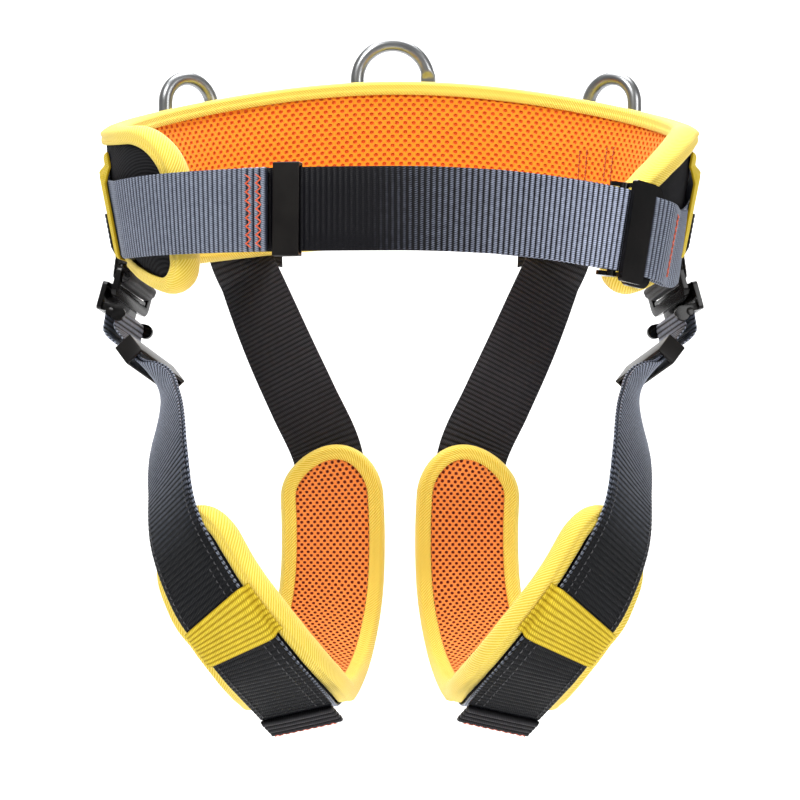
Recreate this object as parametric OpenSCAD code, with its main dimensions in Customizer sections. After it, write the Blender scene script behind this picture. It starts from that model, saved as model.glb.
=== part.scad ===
// Tree climbing saddle: padded waist belt with three D-rings, front strap with a
// hooked plate buckle, and two padded leg loops hung from hip buckles and back straps.
// The front faces -Y, +X is on the viewer's right seen from the front, and "left" means -X.
// The origin is the middle of the waist opening, at the height of the front strap.

/* [Waist belt] */
// Half the width of the waist opening
ring_a = 160; // [150:1:196]
// Half the depth of the waist opening
ring_b = 113; // [100:1:136]
// Height of the belt's top edge at the middle of the back
back_top = 107; // [90:1:130]
// Height of the belt's top edge at its tips
tip_top = 49; // [42:1:58]
// Height of the belt's lower edge at the middle of the back
back_low = 6; // [-4:1:8]
// Height of the belt's lower edge at the sides
side_low = -18; // [-22:1:-15]
// How much further the front lobe of the lower edge hangs
lobe_drop = 18; // [10:1:22]
// Angle from the back to the left tip
left_end = 131.5; // [129:0.5:138]
// Angle from the back to the right tip
right_end = 132; // [128:1:134]
// Thickness of the mesh lining
lining_t = 2; // [1:0.5:3]
// Thickness of the foam
foam_t = 10; // [7:0.5:14]
// Thickness of the woven outer cover
cover_t = 2; // [1:0.5:3]
// How much wider the belt is at its top than lower down, per mm of height
flare = 0.2; // [0:0.02:0.24]

/* [Edge binding] */
// Thickness of the binding's lips
lip_t = 1; // [0.8:0.1:1.4]
// How far the belt binding's lips reach in over the faces
lip_d = 5; // [4:0.5:9]
// How far the leg binding's lips reach in over the faces
leg_lip_d = 5; // [3:0.5:5.5]
// How far the rolled edge stands past the pad
roll = 5; // [3:0.5:6]

/* [Webbing] */
// Width of all the load webbing
web_w = 45; // [40:1:46]
// Thickness of the webbing
web_t = 1.8; // [1.4:0.1:2]
// Length of a folded and stitched strap end
hem_l = 14; // [10:1:18]
// Thickness of a folded strap end
hem_t = 5; // [4:0.5:6]

/* [Rings] */
// Outer width of the back ring
back_ring_w = 57; // [54:1:64]
// Rod diameter of the back ring
back_rod = 9; // [8:0.5:10]
// Height of the back ring from bar to top, centre to centre
back_ring_h = 52; // [46:1:60]
// Outer width of the side rings
side_ring_w = 44; // [42:1:50]
// Rod diameter of the side rings
side_rod = 9; // [7:0.5:9.5]
// Height of the side rings from bar to top, centre to centre
side_ring_h = 46; // [42:1:54]
// Angle of the side rings from the back
side_ring_at = 47; // [46:1:54]

/* [Buckles] */
// Width of a buckle across the strap
buckle_w = 58; // [58:1:62]
// Thickness of the buckle plates
plate_t = 3; // [2.5:0.1:3.2]
// Diameter of the bar that a strap turns round
bar_d = 5; // [4.5:0.1:5.4]

/* [Leg pads] */
// Width of a leg pad without its rolled edge
pad_w = 56; // [55:1:62]
// Thickness of the leg pad foam
pad_foam_t = 8; // [6:0.5:10]
// Thickness of the leg pad lining and cover, each
pad_skin_t = 1.5; // [1:0.5:2]
// Height of the yellow sleeve's band along the strap
sleeve_l = 25; // [20:1:30]

/* [Hidden] */
$fn = 48;
gap = 0.4;                                 // air between pieces that lie on each other
pad_t = lining_t + foam_t + cover_t;       // whole thickness of the belt pad
mm_per_deg = (ring_a + ring_b + pad_t) / 2 * PI / 180;
flare_z = 40;                              // height at which the opening has its stated size
belt_steps = 40;
up = [0, 0, 1];

// ---- vectors and swept solids ----
function unit(v) = v / norm(v);
function mix(a, b, f) = a + (b - a) * f;
function smooth(f) = let (g = min(max(f, 0), 1)) g * g * (3 - 2 * g);
// A four-cornered webbing section: centre p, width direction w, face direction n
function strip(p, w, n, half, n0, n1) =
    [p - w * half + n * n0, p + w * half + n * n0, p + w * half + n * n1, p - w * half + n * n1];

// A closed skin through rings of equal point count. The two long faces of a flat section are
// split along the same diagonal, so layers that share a face meet exactly. The ends are closed by
// a strip across from point to point. Loop joins the ends, and back is for rings that turn the
// other way round seen along their run
module skin(given, loop = false, back = false) {
    rings = back ? [for (i = [len(given) - 1:-1:0]) given[i]] : given;
    m = len(rings[0]);
    k = len(rings);
    last = loop ? k - 1 : k - 2;
    sides = [for (i = [0:last]) for (j = [0:m - 1])
        let (a = i * m + j, b = i * m + (j + 1) % m,
            c = ((i + 1) % k) * m + (j + 1) % m, d = ((i + 1) % k) * m + j)
        each (j < m / 2 ? [[a, c, b], [a, d, c]] : [[a, d, b], [b, d, c]])];
    caps = loop ? [] : [for (j = [0:m / 2 - 2]) let (q = [j, j + 1, m - 2 - j, m - 1 - j])
        each [q, [for (i = [3:-1:0]) (k - 1) * m + q[i]]]];
    polyhedron(points = [for (r = rings) each r], faces = concat(sides, caps), convexity = 8);
}

// Stands local x, y, z on three unit vectors at a point
module stand(o, x, y, z)
    multmatrix([[x[0], y[0], z[0], o[0]], [x[1], y[1], z[1], o[1]], [x[2], y[2], z[2], o[2]]])
        children();

module round_plate(w, l, r) {
    square([w - 2 * r, l], center = true);
    square([w, l - 2 * r], center = true);
    for (i = [-1, 1]) for (j = [-1, 1]) translate([i * (w / 2 - r), j * (l / 2 - r)]) circle(r);
}

// ---- the belt's curved sheet: t is the angle from the back, off the distance outwards ----
function lean(t, z) = flare * pow(sin(t), 2) * (z - flare_z);
function on_belt(t, off, z) = let (o = off + lean(t, z))
    [(ring_a + o) * sin(t), (ring_b + o) * cos(t), z];
function belt_out(t) = unit([sin(t) / ring_a, cos(t) / ring_b, 0]);
// Outward normal of the leaning sheet at height z
function sheet_out(t, z) = unit(cross(on_belt(t, 0, z + 1) - on_belt(t, 0, z),
    on_belt(t + 0.5, pad_t / 2, z) - on_belt(t - 0.5, pad_t / 2, z)));
function share(t) = (1 + cos(t)) / 2;
function corner(d, rx, rz, p) = d <= 0 ? 0 : rz * (1 - pow(1 - pow(min(d / rx, 1), p), 1 / p));
function past(t, rx) = rx - (t < 0 ? left_end + t : right_end - t) * mm_per_deg;
function pad_top(t) = tip_top + (back_top - tip_top) * pow(share(t), 2.3)
    - (t < 0 ? corner(past(t, 36), 36, 32, 2) : corner(past(t, 84), 84, 46, 1.3));
function pad_low(t) = side_low + (back_low - side_low) * pow(share(t), 4)
    - lobe_drop * smooth((abs(t) - 96) / 34) + corner(past(t, 18), 18, 15, 2);
belt_t = [for (i = [0:belt_steps]) mix(-left_end, right_end, (1 - cos(180 * i / belt_steps)) / 2)];

inset = 2;                                 // the layers stop this far inside the binding
belt_layer_t = concat([inset - left_end],
    [for (t = belt_t) if (t > inset + 0.5 - left_end && t < right_end - inset - 0.5) t], [right_end - inset]);
module belt_layer(o0, o1) skin([for (t = belt_layer_t)
    [on_belt(t, o0, pad_low(t) + inset), on_belt(t, o1, pad_low(t) + inset),
        on_belt(t, o1, pad_top(t) - inset), on_belt(t, o0, pad_top(t) - inset)]]);

// The binding's channel section about the middle of an edge: [along the normal, outwards]
function channel(t, deep) = let (h = t / 2 + gap) [
    [-h - lip_t, -deep], [-h - lip_t, 0], [-h * 0.72, roll * 0.75], [0, roll], [h * 0.72, roll * 0.75],
    [h + lip_t, 0], [h + lip_t, -deep], [h, -deep], [h, -0.4], [-h, -0.4], [-h, -deep]];

// Binding round a closed edge: pts on the mid surface, face normals ns
module bound_edge(pts, ns, t, deep) {
    k = len(pts);
    skin([for (i = [0:k - 1])
        let (d = unit(pts[(i + 1) % k] - pts[(i + k - 1) % k]), n = ns[i], o = unit(cross(d, n)))
        [for (c = channel(t, deep)) pts[i] + n * c[0] + o * c[1]]], loop = true, back = true);
}

belt_edge_t = concat(belt_t, [for (i = [belt_steps:-1:0]) belt_t[i]]);
belt_edge = [for (i = [0:2 * belt_steps + 1]) let (t = belt_edge_t[i])
    on_belt(t, pad_t / 2, i <= belt_steps ? pad_top(t) : pad_low(t))];

module belt_lining() color("darkorange") belt_layer(0, lining_t);
module belt_foam() color("dimgray") belt_layer(lining_t, lining_t + foam_t);
module belt_cover() color("#1a1a1c") belt_layer(lining_t + foam_t, pad_t);
module belt_binding() color("gold")
    bound_edge(belt_edge, [for (i = [0:len(belt_edge) - 1]) sheet_out(belt_edge_t[i], belt_edge[i][2])], pad_t, lip_d);

// ---- waist webbing ----
web_off = pad_t + lip_t + 4 * gap;         // inner face of webbing that crosses the binding
buckle_at = 133.5;                         // angle of the waist buckle from the back
front_sag = 13;                            // how far the front strap falls towards its buckle
function front_z(x) = x > 0 ? 2 - front_sag * pow(x / 140, 2) : 2 + 2 * pow(x / 140, 2);
function web_z(t) = mix((pad_top(t) + pad_low(t)) / 2, front_z(ring_a * sin(t)),
    smooth((abs(t) - 70) / 45));
function web_at(t, off) = on_belt(t, off, web_z(t));
// Webbing section at angle t, its width square to its run
function web_ring(t, n0, n1) = let (p = web_at(t, n0), d = unit(web_at(t + 1, n0) - web_at(t - 1, n0)),
    q = sheet_out(t, web_z(t)), n = unit(q - d * (q * d)), w = unit(cross(d, n)))
    strip(p, w, n, web_w / 2, 0, n1 - n0);

// ---- the plate buckle in its own axes: x from strap to anchor, y across, z outwards ----
bar_x = -11;
bar_z = 5;
rail_in = 14;                              // near side of the far rail
frame_l = 22;                              // length of the frame from its near edge
plate_z = bar_z + bar_d / 2 + web_t + 3 * gap;
frame_z = bar_z - plate_t / 2;
turn_r = bar_d / 2 + gap;                  // inner radius of webbing round the bar
tongue_x = 4.6;                            // near face of the hooking tongue

module buckle_frame() {
    difference() {
        translate([frame_l / 2 - 2, 0, frame_z]) linear_extrude(plate_t) round_plate(frame_l, buckle_w, 6);
        translate([tongue_x - 0.6, -web_w / 2 - 1, frame_z - 1])
            cube([rail_in - tongue_x + 0.6, web_w + 2, plate_t + 2]);
    }
}

module buckle_plate() {
    cheek = 2.5;
    translate([(bar_x + tongue_x + 2) / 2, 0, plate_z])
        linear_extrude(plate_t) round_plate(tongue_x + 2 - bar_x, buckle_w - 2, 2);
    translate([tongue_x, -web_w / 2, frame_z + 0.5]) cube([2, web_w, plate_z - frame_z]);
    difference() {
        for (s = [-1, 1]) translate([bar_x, s * (web_w / 2 + 1 + cheek / 2), 0]) {
            rotate([90, 0, 0]) cylinder(h = cheek, d = 9, center = true);
            translate([0, -cheek / 2, -0.5 + bar_z - 4]) cube([4.5, cheek, plate_z - bar_z + 5]);
        }
        translate([bar_x, 0, bar_z]) rotate([90, 0, 0]) cylinder(h = buckle_w, d = bar_d, center = true);
    }
}

module buckle_bar() translate([bar_x, 0, bar_z]) rotate([90, 0, 0])
    cylinder(h = web_w + 7, d = bar_d, center = true);

// ---- where the waist buckle stands ----
waist_u = unit(web_at(buckle_at - 2, web_off) - web_at(buckle_at + 2, web_off));
waist_n = let (q = sheet_out(buckle_at, web_z(buckle_at))) unit(q - waist_u * (q * waist_u));
waist_w = cross(waist_n, waist_u);
waist_o = web_at(buckle_at, web_off);
module at_waist_buckle() stand(waist_o, waist_u, waist_w, waist_n) children();

// Webbing sections round a bar: middle c, from direction a through b
function round_bar(c, w, a, b, r0, r1, half = web_w / 2) =
    [for (q = [0:30:180]) let (d = a * cos(q) + b * sin(q)) strip(c, w, d, half, r0, r1)];

// ---- webbing of the waist ----
return_end = 104;                          // angle where the returned layer is sewn down
turn_at = 125;                             // angle just past the buckle frame
loop_r = plate_t / 2 + 3 * gap;            // inner radius of webbing round a frame rail
web_hem_at = 156.6;                        // angle of the belt webbing's folded front end
hem_deg = hem_l / 2.9;                     // the same length as an angle at the front
strap_end = 238;                           // angle where the front strap ends, under the belt webbing
rail_c = waist_o + waist_u * rail_in + waist_n * bar_z;
function under(t) = (web_t + 2 * gap) * smooth((-t - 104) / 10);   // room for the front strap

module belt_webbing() color("#23232b") skin(concat(
    [for (t = [return_end:5.25:turn_at]) let (f = smooth((t - 112) / 13),
        n0 = web_off + mix(web_t + gap, bar_z + loop_r + 2, f)) web_ring(t, n0, n0 + web_t)],
    round_bar(rail_c, waist_w, waist_n, -waist_u, loop_r, loop_r + web_t),
    [for (i = [0:44]) let (t = mix(turn_at, hem_deg - web_hem_at, i / 44), f = smooth((t - 112) / 13),
        n0 = web_off + under(t) + mix(0, bar_z - loop_r - web_t, f)) web_ring(t, n0 + web_t, n0)],
    [for (t = [hem_deg - web_hem_at - 0.4, -web_hem_at]) let (n0 = web_off + under(t))
        web_ring(t, n0 + hem_t, n0)]), back = true);

waist_bar_c = waist_o + waist_u * bar_x + waist_n * bar_z;
module front_strap() color("#17171a") skin(concat(
    [for (t = [buckle_at + 24, buckle_at + 18, buckle_at + 12, buckle_at + 8])
        web_ring(t, web_off + 0.2 + web_t, web_off + 0.2)],
    round_bar(waist_bar_c, waist_w, -waist_n, waist_u, turn_r, turn_r + web_t),
    [for (t = [buckle_at + 8, buckle_at + 12, buckle_at + 18, buckle_at + 24, buckle_at + 29])
        let (n0 = web_off + 0.2 + web_t + gap + 3.6 * (1 - smooth((t - buckle_at - 5) / 15)))
            web_ring(t, n0, n0 + web_t)],
    [for (t = [buckle_at + 34:4.6:strap_end]) web_ring(t, web_off + 0.2, web_off + 0.2 + web_t)]),
    back = true);

keeper_at = 200;                           // angle of the sliding keeper on the front strap
keeper_l = 15;
keeper_air = 0.9;
module band(w, l, t, wall) difference() {
    cube([l, w + 2 * wall, t + 2 * wall], center = true);
    cube([l + 1, w, t], center = true);
}
front_keeper_o = web_at(keeper_at, web_off + 0.2 + web_t / 2);
front_keeper_d = unit(web_at(keeper_at - 1, web_off) - web_at(keeper_at + 1, web_off));
module front_keeper() color("#101012")
    stand(front_keeper_o, front_keeper_d, cross(belt_out(keeper_at), front_keeper_d), belt_out(keeper_at))
        band(web_w + 2 * keeper_air, keeper_l, web_t + 2 * keeper_air, 1.8);

module waist_buckle_frame() color("#18181a") at_waist_buckle() buckle_frame();
module waist_buckle_plate() color("#1c1c1e") at_waist_buckle() buckle_plate();
module waist_buckle_bar() color("silver") at_waist_buckle() buckle_bar();

// ---- rings and the loops that hold them ----
loop_off = web_off + web_t + 2 * gap;         // inner face of what is sewn over the belt webbing
function ring_bar_off(rod) = loop_off + web_t + gap + rod / 2;
module at_ring(t, rod, z) let (n = belt_out(t))
    stand(on_belt(t, ring_bar_off(rod), z), cross(n, up), up, -n) children();
back_bar_z = back_top - 19;                // height of the back ring's bar
back_ring_at = -1.5;                       // angle of the back ring
side_bar_z = 64;                           // height of the side rings' bars

module d_ring(w, h, rod) let (r = (w - rod) / 2) {
    translate([0, h - r, 0]) rotate_extrude(angle = 180) translate([r, 0]) circle(d = rod);
    for (s = [-1, 1]) translate([s * r, 0, 0]) {
        rotate([-90, 0, 0]) cylinder(h = h - r, d = rod);
        sphere(d = rod);
    }
    rotate([0, 90, 0]) cylinder(h = 2 * r, d = rod, center = true);
}

// A hairpin of webbing round a bar, closed and sewn below it
module ring_loop(w, rod, drop) let (r = rod / 2 + gap, q = rod / 2 + gap + web_t)
    rotate([0, 90, 0]) linear_extrude(w, center = true) difference() {
        union() {
            circle(q);
            translate([-q, -drop]) square([2 * q, drop]);
        }
        circle(r);
        translate([-r, 14 - drop]) square([2 * r, drop - 14]);
    }

module back_ring() color("silver") at_ring(back_ring_at, back_rod, back_bar_z)
    d_ring(back_ring_w, back_ring_h, back_rod);
module back_ring_loop() color("#1d1d22") at_ring(back_ring_at, back_rod, back_bar_z)
    ring_loop(back_ring_w - 2 * back_rod - 4, back_rod, 56);
module side_ring(t) at_ring(t, side_rod, side_bar_z) d_ring(side_ring_w, side_ring_h, side_rod);
module side_ring_loop(t) at_ring(t, side_rod, side_bar_z)
    ring_loop(side_ring_w - 2 * side_rod - 4, side_rod, 44);
module side_ring_left() color("silver") side_ring(-side_ring_at);
module side_ring_right() color("silver") side_ring(side_ring_at);
module side_ring_loop_left() color("#1d1d22") side_ring_loop(-side_ring_at);
module side_ring_loop_right() color("#1d1d22") side_ring_loop(side_ring_at);

// ---- left leg loop: from the hip buckle down the front, under the thigh and up the back ----
hip_at = -81;                              // angle of the hip tab from the back
hip_shift = ring_a - 160;                  // the leg loops follow the belt when it is widened
hip_o = [-162 - hip_shift, 26, -42];
hip_u = unit([0.24, 0.14, 0.96]);
hip_w = let (f = [0.2, 0.95, -0.22]) unit(f - hip_u * (f * hip_u));
hip_n = cross(hip_u, hip_w);
module at_hip_buckle() stand(hip_o, hip_u, hip_w, hip_n) children();
hip_bar_c = hip_o + hip_u * bar_x + hip_n * bar_z;
hip_rail_c = hip_o + hip_u * rail_in + hip_n * bar_z;
strap_r = turn_r + web_t / 2;

// Middle line of the loop on the pad's outer face, and the direction of its inner edge
leg_pts = [hip_bar_c - hip_n * strap_r, hip_bar_c - hip_n * strap_r - hip_u * 7,
    [-160 - hip_shift, 20, -66], [-149 - hip_shift, 13, -76], [-139 - hip_shift, -2, -92],
    [-133, -36, -112], [-127, -75, -140], [-121, -97, -171], [-106, -110, -202], [-91, -113, -223], [-74, -102, -247], [-62, -70, -267], [-58, -25, -278], [-53, 20, -270],
    [-47, 52, -247], [-43, 68, -214], [-43, 75, -171], [-47, 78, -135], [-63, 84, -100],
    [-82, 96, -60], [-103, ring_b - 5, -12]];
leg_dirs = [-hip_w, -hip_w, [-0.26, -0.94, 0.2], [-0.28, -0.93, 0.22],
    [0, -1, 0.05], [0.35, -0.9, 0.25], [0.5, -0.8, 0.33], [0.62, -0.67, 0.41], [0.75, -0.53, 0.38],
    [0.81, -0.47, 0.34], [0.9, -0.35, 0.25], [0.97, -0.15, 0.15], [1, 0, 0.08], [1, 0.03, 0.03],
    [1, 0, 0], [1, 0, 0], [1, 0, 0], [0.98, -0.03, 0.12], [0.93, -0.06, 0.34],
    [0.92, -0.2, 0.34], [0.85, -0.48, 0.2]];

function bend(a, b, c, d, f) = 0.5 * (2 * b + (c - a) * f + (2 * a - 5 * b + 4 * c - d) * f * f
    + (3 * b - a - 3 * c + d) * f * f * f);
function along(list, q) = let (k = len(list) - 1, i = min(floor(q), k - 1))
    bend(list[max(i - 1, 0)], list[i], list[i + 1], list[min(i + 2, k)], q - i);
fine = 6;                                  // samples in each span of the loop
leg_table = [for (i = [0:fine * (len(leg_pts) - 1)]) [along(leg_pts, i / fine), along(leg_dirs, i / fine)]];
function lengths(i = 0, sum = 0) = i >= len(leg_table) - 1 ? [sum]
    : concat([sum], lengths(i + 1, sum + norm(leg_table[i + 1][0] - leg_table[i][0])));
leg_len = lengths();
leg_total = leg_len[len(leg_len) - 1];
function row_of(s) = let (g = min(max(s, 0), leg_total - 0.01))
    max([for (i = [0:len(leg_len) - 2]) if (leg_len[i] <= g) i]);
function leg_at(s) = let (i = row_of(s), f = (s - leg_len[i]) / (leg_len[i + 1] - leg_len[i]))
    mix(leg_table[i], leg_table[i + 1], f);
// Frame at length s: middle, run, inner-edge direction, outward face direction
function leg_frame(s) = let (p = leg_at(s), d = unit(leg_at(s + 4)[0] - leg_at(s - 4)[0]),
    w = unit(p[1] - d * (p[1] * d))) [p[0], d, w, cross(d, w)];
function leg_ring(s, half, n0, n1) = let (f = leg_frame(s)) strip(f[0], f[2], f[3], half, n0, n1);

keeper_s = leg_len[3 * fine];              // where the keeper, sleeve, pad ends and tail sit
sleeve_s = leg_len[9 * fine];
leave_s = leg_len[10 * fine];
pad_front_s = leg_len[7 * fine] - 6;
pad_back_s = leg_len[17 * fine];
back_join_s = leg_len[16 * fine];
pad_inner = pad_foam_t + 2 * pad_skin_t;
pad_r = pad_w / 2;

// Half width of the pad at length s, round at both ends; e takes that much off all round
function pad_half(s, e = 0) = let (r = pad_r - e, d = min(s - pad_front_s, pad_back_s - s) - e)
    d >= r ? r : sqrt(max(r * r - pow(r - d, 2), 0));
end_steps = 5;
mid_steps = 21;
pad_s = concat(
    [for (i = [0.5:end_steps]) pad_front_s + pad_r * (1 - cos(90 * i / end_steps))],
    [for (i = [0:mid_steps]) mix(pad_front_s + pad_r, pad_back_s - pad_r, i / mid_steps)],
    [for (i = [end_steps - 0.5:-1:0.5]) pad_back_s - pad_r * (1 - cos(90 * i / end_steps))]);
pad_layer_s = concat([pad_front_s + inset],
    [for (s = pad_s) if (s > pad_front_s + inset + 0.5 && s < pad_back_s - inset - 0.5) s], [pad_back_s - inset]);
module pad_layer(n0, n1) skin([for (s = pad_layer_s) leg_ring(s, pad_half(s, 0.8 * inset), n0, n1)]);

leg_edge = concat([for (s = pad_s) [s, -1]], [for (i = [len(pad_s) - 1:-1:0]) [pad_s[i], 1]]);
leg_edge_at = [for (e = leg_edge) let (f = leg_frame(e[0]))
    f[0] + f[2] * (e[1] * pad_half(e[0])) - f[3] * (pad_inner / 2)];

strap_air = gap + lip_t + 0.3;             // the strap lies over the pad cover by this much
tail_lift = web_t + 2 * gap;
function tail_n(s) = mix(2 * strap_r - web_t / 2, strap_air + tail_lift, smooth(s / keeper_s));
function base_n(s) = mix(-web_t / 2, strap_air, smooth(s / keeper_s));
tail_end = leg_frame(leave_s);
tail_rest = 52;                            // length of the free end past the pad
function tail_ring(d, t) = let (f = tail_end, n = tail_n(leave_s), r = unit(f[1] - f[3] * 0.04))
    strip(f[0] + r * d, f[2], f[3], web_w / 2, n, n + t);

module left_leg_strap() skin(concat(
    [for (i = [44:-1:0]) let (s = mix(7.5, back_join_s, i / 44)) leg_ring(s, web_w / 2, base_n(s) + web_t, base_n(s))],
    [for (q = [0:30:180]) let (d = -hip_n * cos(q) + hip_u * sin(q))
        strip(hip_bar_c, -hip_w, d, web_w / 2, turn_r, turn_r + web_t)],
    [for (i = [0:24]) let (s = mix(7.5, leave_s, i / 24)) leg_ring(s, web_w / 2, tail_n(s), tail_n(s) + web_t)],
    [tail_ring(20, web_t), tail_ring(tail_rest - hem_l, web_t), tail_ring(tail_rest - hem_l + 1, hem_t),
        tail_ring(tail_rest, hem_t)]));

module left_leg_keeper() let (f = leg_frame(keeper_s), mid = (base_n(keeper_s) + tail_n(keeper_s) + web_t) / 2)
    stand(f[0] + f[3] * mid, f[1], f[2], f[3])
        band(web_w + 5 * keeper_air, 15, tail_n(keeper_s) - base_n(keeper_s) + web_t + 5 * keeper_air, 1.8);

// A bridge of webbing over both strap layers, sewn to the cover on each side
module left_leg_sleeve() let (half = web_w / 2 + gap, foot = lip_t + 2 * gap, top = tail_n(sleeve_s) + web_t + 2 * gap)
    skin([for (d = [-sleeve_l / 2:sleeve_l / 4:sleeve_l / 2]) let (f = leg_frame(sleeve_s + d))
        [for (c = [[-half - web_t, foot], [-half - web_t, top + web_t], [half + web_t, top + web_t],
            [half + web_t, foot], [half, foot], [half, top], [-half, top], [-half, foot]])
            f[0] + f[2] * c[0] + f[3] * c[1]]], back = true);

module left_back_strap() let (n = strap_air + web_t + gap)
    skin([for (i = [0:16]) let (s = mix(back_join_s - 60, leg_total - 6, i / 16))
        leg_ring(s, web_w / 2, n * (1 - smooth((s - pad_back_s) / 60)) + 0.3,
            n * (1 - smooth((s - pad_back_s) / 60)) + 0.3 + web_t)]);

anchor_at = -34;                           // angle of the back anchors
module left_back_anchor() skin([for (z = [-8, 3, 14]) let (n = sheet_out(anchor_at, 3),
    d = unit([n[1], -n[0], -0.18]))
        strip(on_belt(anchor_at, web_off, z), d, n, web_w / 2, 0, web_t)]);

module left_hip_tab() let (n = sheet_out(hip_at, 2), side = unit([n[1], -n[0], 0]), rise = loop_r + 2)
    skin(concat(
        [for (z = [12, 2, -8]) strip(on_belt(hip_at, loop_off, z), side, n, web_w / 2, 0, web_t)],
        [strip(hip_rail_c + hip_u * 10, hip_w, hip_n, web_w / 2, rise + 1.5, rise + 1.5 + web_t)],
        round_bar(hip_rail_c, hip_w, hip_n, -hip_u, rise, rise + web_t),
        [strip(hip_rail_c + hip_u * 2, hip_w, -hip_n, web_w / 2, rise - 1, rise - 1 + web_t)]), back = true);

// A yellow band sewn upright over the belt webbing, just in front of each hip
side_band_at = -96.8;                      // angle of its middle
side_band_h = 62;
side_band_z = 14;                          // height of its middle
module left_side_band() skin([for (i = [-2:2])
    let (t = side_band_at + 2 * i, p = on_belt(t, loop_off, side_band_z), n = sheet_out(t, side_band_z))
        strip(p, unit(on_belt(t, loop_off, side_band_z + 1) - p), n, side_band_h / 2, 0, web_t)], back = true);

module right() mirror([1, 0, 0]) children();

module side_band_left() color("gold") left_side_band();
module side_band_right() color("gold") right() left_side_band();

module hip_tab_left() color("#1d1d22") left_hip_tab();
module hip_tab_right() color("#1d1d22") right() left_hip_tab();
module hip_buckle_frame_left() color("#18181a") at_hip_buckle() buckle_frame();
module hip_buckle_frame_right() color("#18181a") right() at_hip_buckle() buckle_frame();
module hip_buckle_plate_left() color("#1c1c1e") at_hip_buckle() buckle_plate();
module hip_buckle_plate_right() color("#1c1c1e") right() at_hip_buckle() buckle_plate();
module hip_buckle_bar_left() color("silver") at_hip_buckle() buckle_bar();
module hip_buckle_bar_right() color("silver") right() at_hip_buckle() buckle_bar();
module leg_strap_left() color("#202026") left_leg_strap();
module leg_strap_right() color("#202026") right() left_leg_strap();
module leg_keeper_left() color("#101012") left_leg_keeper();
module leg_keeper_right() color("#101012") right() left_leg_keeper();
module leg_sleeve_left() color("gold") left_leg_sleeve();
module leg_sleeve_right() color("gold") right() left_leg_sleeve();
module leg_lining_left() color("coral") pad_layer(-pad_inner, pad_skin_t - pad_inner);
module leg_lining_right() color("coral") right() pad_layer(-pad_inner, pad_skin_t - pad_inner);
module leg_foam_left() color("dimgray") pad_layer(pad_skin_t - pad_inner, -pad_skin_t);
module leg_foam_right() color("dimgray") right() pad_layer(pad_skin_t - pad_inner, -pad_skin_t);
module leg_cover_left() color("#1a1a1c") pad_layer(-pad_skin_t, 0);
module leg_cover_right() color("#1a1a1c") right() pad_layer(-pad_skin_t, 0);
module left_leg_binding() bound_edge(leg_edge_at, [for (e = leg_edge) leg_frame(e[0])[3]], pad_inner, leg_lip_d);
module leg_binding_left() color("gold") left_leg_binding();
module leg_binding_right() color("gold") right() left_leg_binding();
module back_strap_left() color("#202026") left_back_strap();
module back_strap_right() color("#202026") right() left_back_strap();
module back_anchor_left() color("#1d1d22") left_back_anchor();
module back_anchor_right() color("#1d1d22") right() left_back_anchor();

belt_lining();
belt_foam();
belt_cover();
belt_binding();
belt_webbing();
front_strap();
front_keeper();
waist_buckle_frame();
waist_buckle_plate();
waist_buckle_bar();
back_ring();
back_ring_loop();
side_ring_left();
side_ring_loop_left();
side_ring_right();
side_ring_loop_right();
side_band_left();
side_band_right();
hip_tab_left();
hip_tab_right();
hip_buckle_frame_left();
hip_buckle_frame_right();
hip_buckle_plate_left();
hip_buckle_plate_right();
hip_buckle_bar_left();
hip_buckle_bar_right();
leg_strap_left();
leg_strap_right();
leg_keeper_left();
leg_keeper_right();
leg_sleeve_left();
leg_sleeve_right();
leg_lining_left();
leg_lining_right();
leg_foam_left();
leg_foam_right();
leg_cover_left();
leg_cover_right();
leg_binding_left();
leg_binding_right();
back_strap_left();
back_strap_right();
back_anchor_left();
back_anchor_right();
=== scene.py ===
import math

import bmesh
import bpy
import numpy as np
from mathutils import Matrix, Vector


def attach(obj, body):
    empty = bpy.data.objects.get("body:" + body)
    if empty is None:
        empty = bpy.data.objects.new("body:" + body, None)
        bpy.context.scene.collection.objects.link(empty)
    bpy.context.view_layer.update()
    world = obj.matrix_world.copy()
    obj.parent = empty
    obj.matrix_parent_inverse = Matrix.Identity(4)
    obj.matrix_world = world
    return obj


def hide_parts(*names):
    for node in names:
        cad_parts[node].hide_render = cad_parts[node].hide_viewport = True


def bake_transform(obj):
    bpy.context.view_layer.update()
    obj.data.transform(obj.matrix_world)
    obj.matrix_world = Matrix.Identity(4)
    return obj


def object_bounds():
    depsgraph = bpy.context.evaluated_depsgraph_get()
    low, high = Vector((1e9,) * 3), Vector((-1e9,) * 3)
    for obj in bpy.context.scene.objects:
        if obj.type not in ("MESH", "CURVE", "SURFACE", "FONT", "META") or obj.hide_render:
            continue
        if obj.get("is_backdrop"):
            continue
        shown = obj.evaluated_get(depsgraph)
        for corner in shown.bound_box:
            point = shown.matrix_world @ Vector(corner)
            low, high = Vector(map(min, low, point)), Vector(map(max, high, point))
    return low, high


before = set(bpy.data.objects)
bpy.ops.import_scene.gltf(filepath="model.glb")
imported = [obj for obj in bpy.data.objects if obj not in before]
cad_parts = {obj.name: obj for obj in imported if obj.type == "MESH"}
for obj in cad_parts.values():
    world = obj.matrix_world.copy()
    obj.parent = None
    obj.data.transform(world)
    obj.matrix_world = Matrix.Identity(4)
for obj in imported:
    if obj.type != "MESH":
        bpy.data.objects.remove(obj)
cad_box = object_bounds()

# ---- sizes shared with the frame, in millimetres and degrees from the middle of the back ----
RING_A, RING_B = 160.0, 113.0
BACK_TOP, TIP_TOP, BACK_LOW, SIDE_LOW, LOBE_DROP = 107.0, 49.0, 6.0, -18.0, 18.0
LEFT_END, RIGHT_END = 131.5, 132.0
PAD_T, FLARE, FLARE_Z = 14.0, 0.2, 40.0
LIP_T, LIP_D, ROLL, GAP = 1.0, 5.0, 5.0, 0.4
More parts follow.
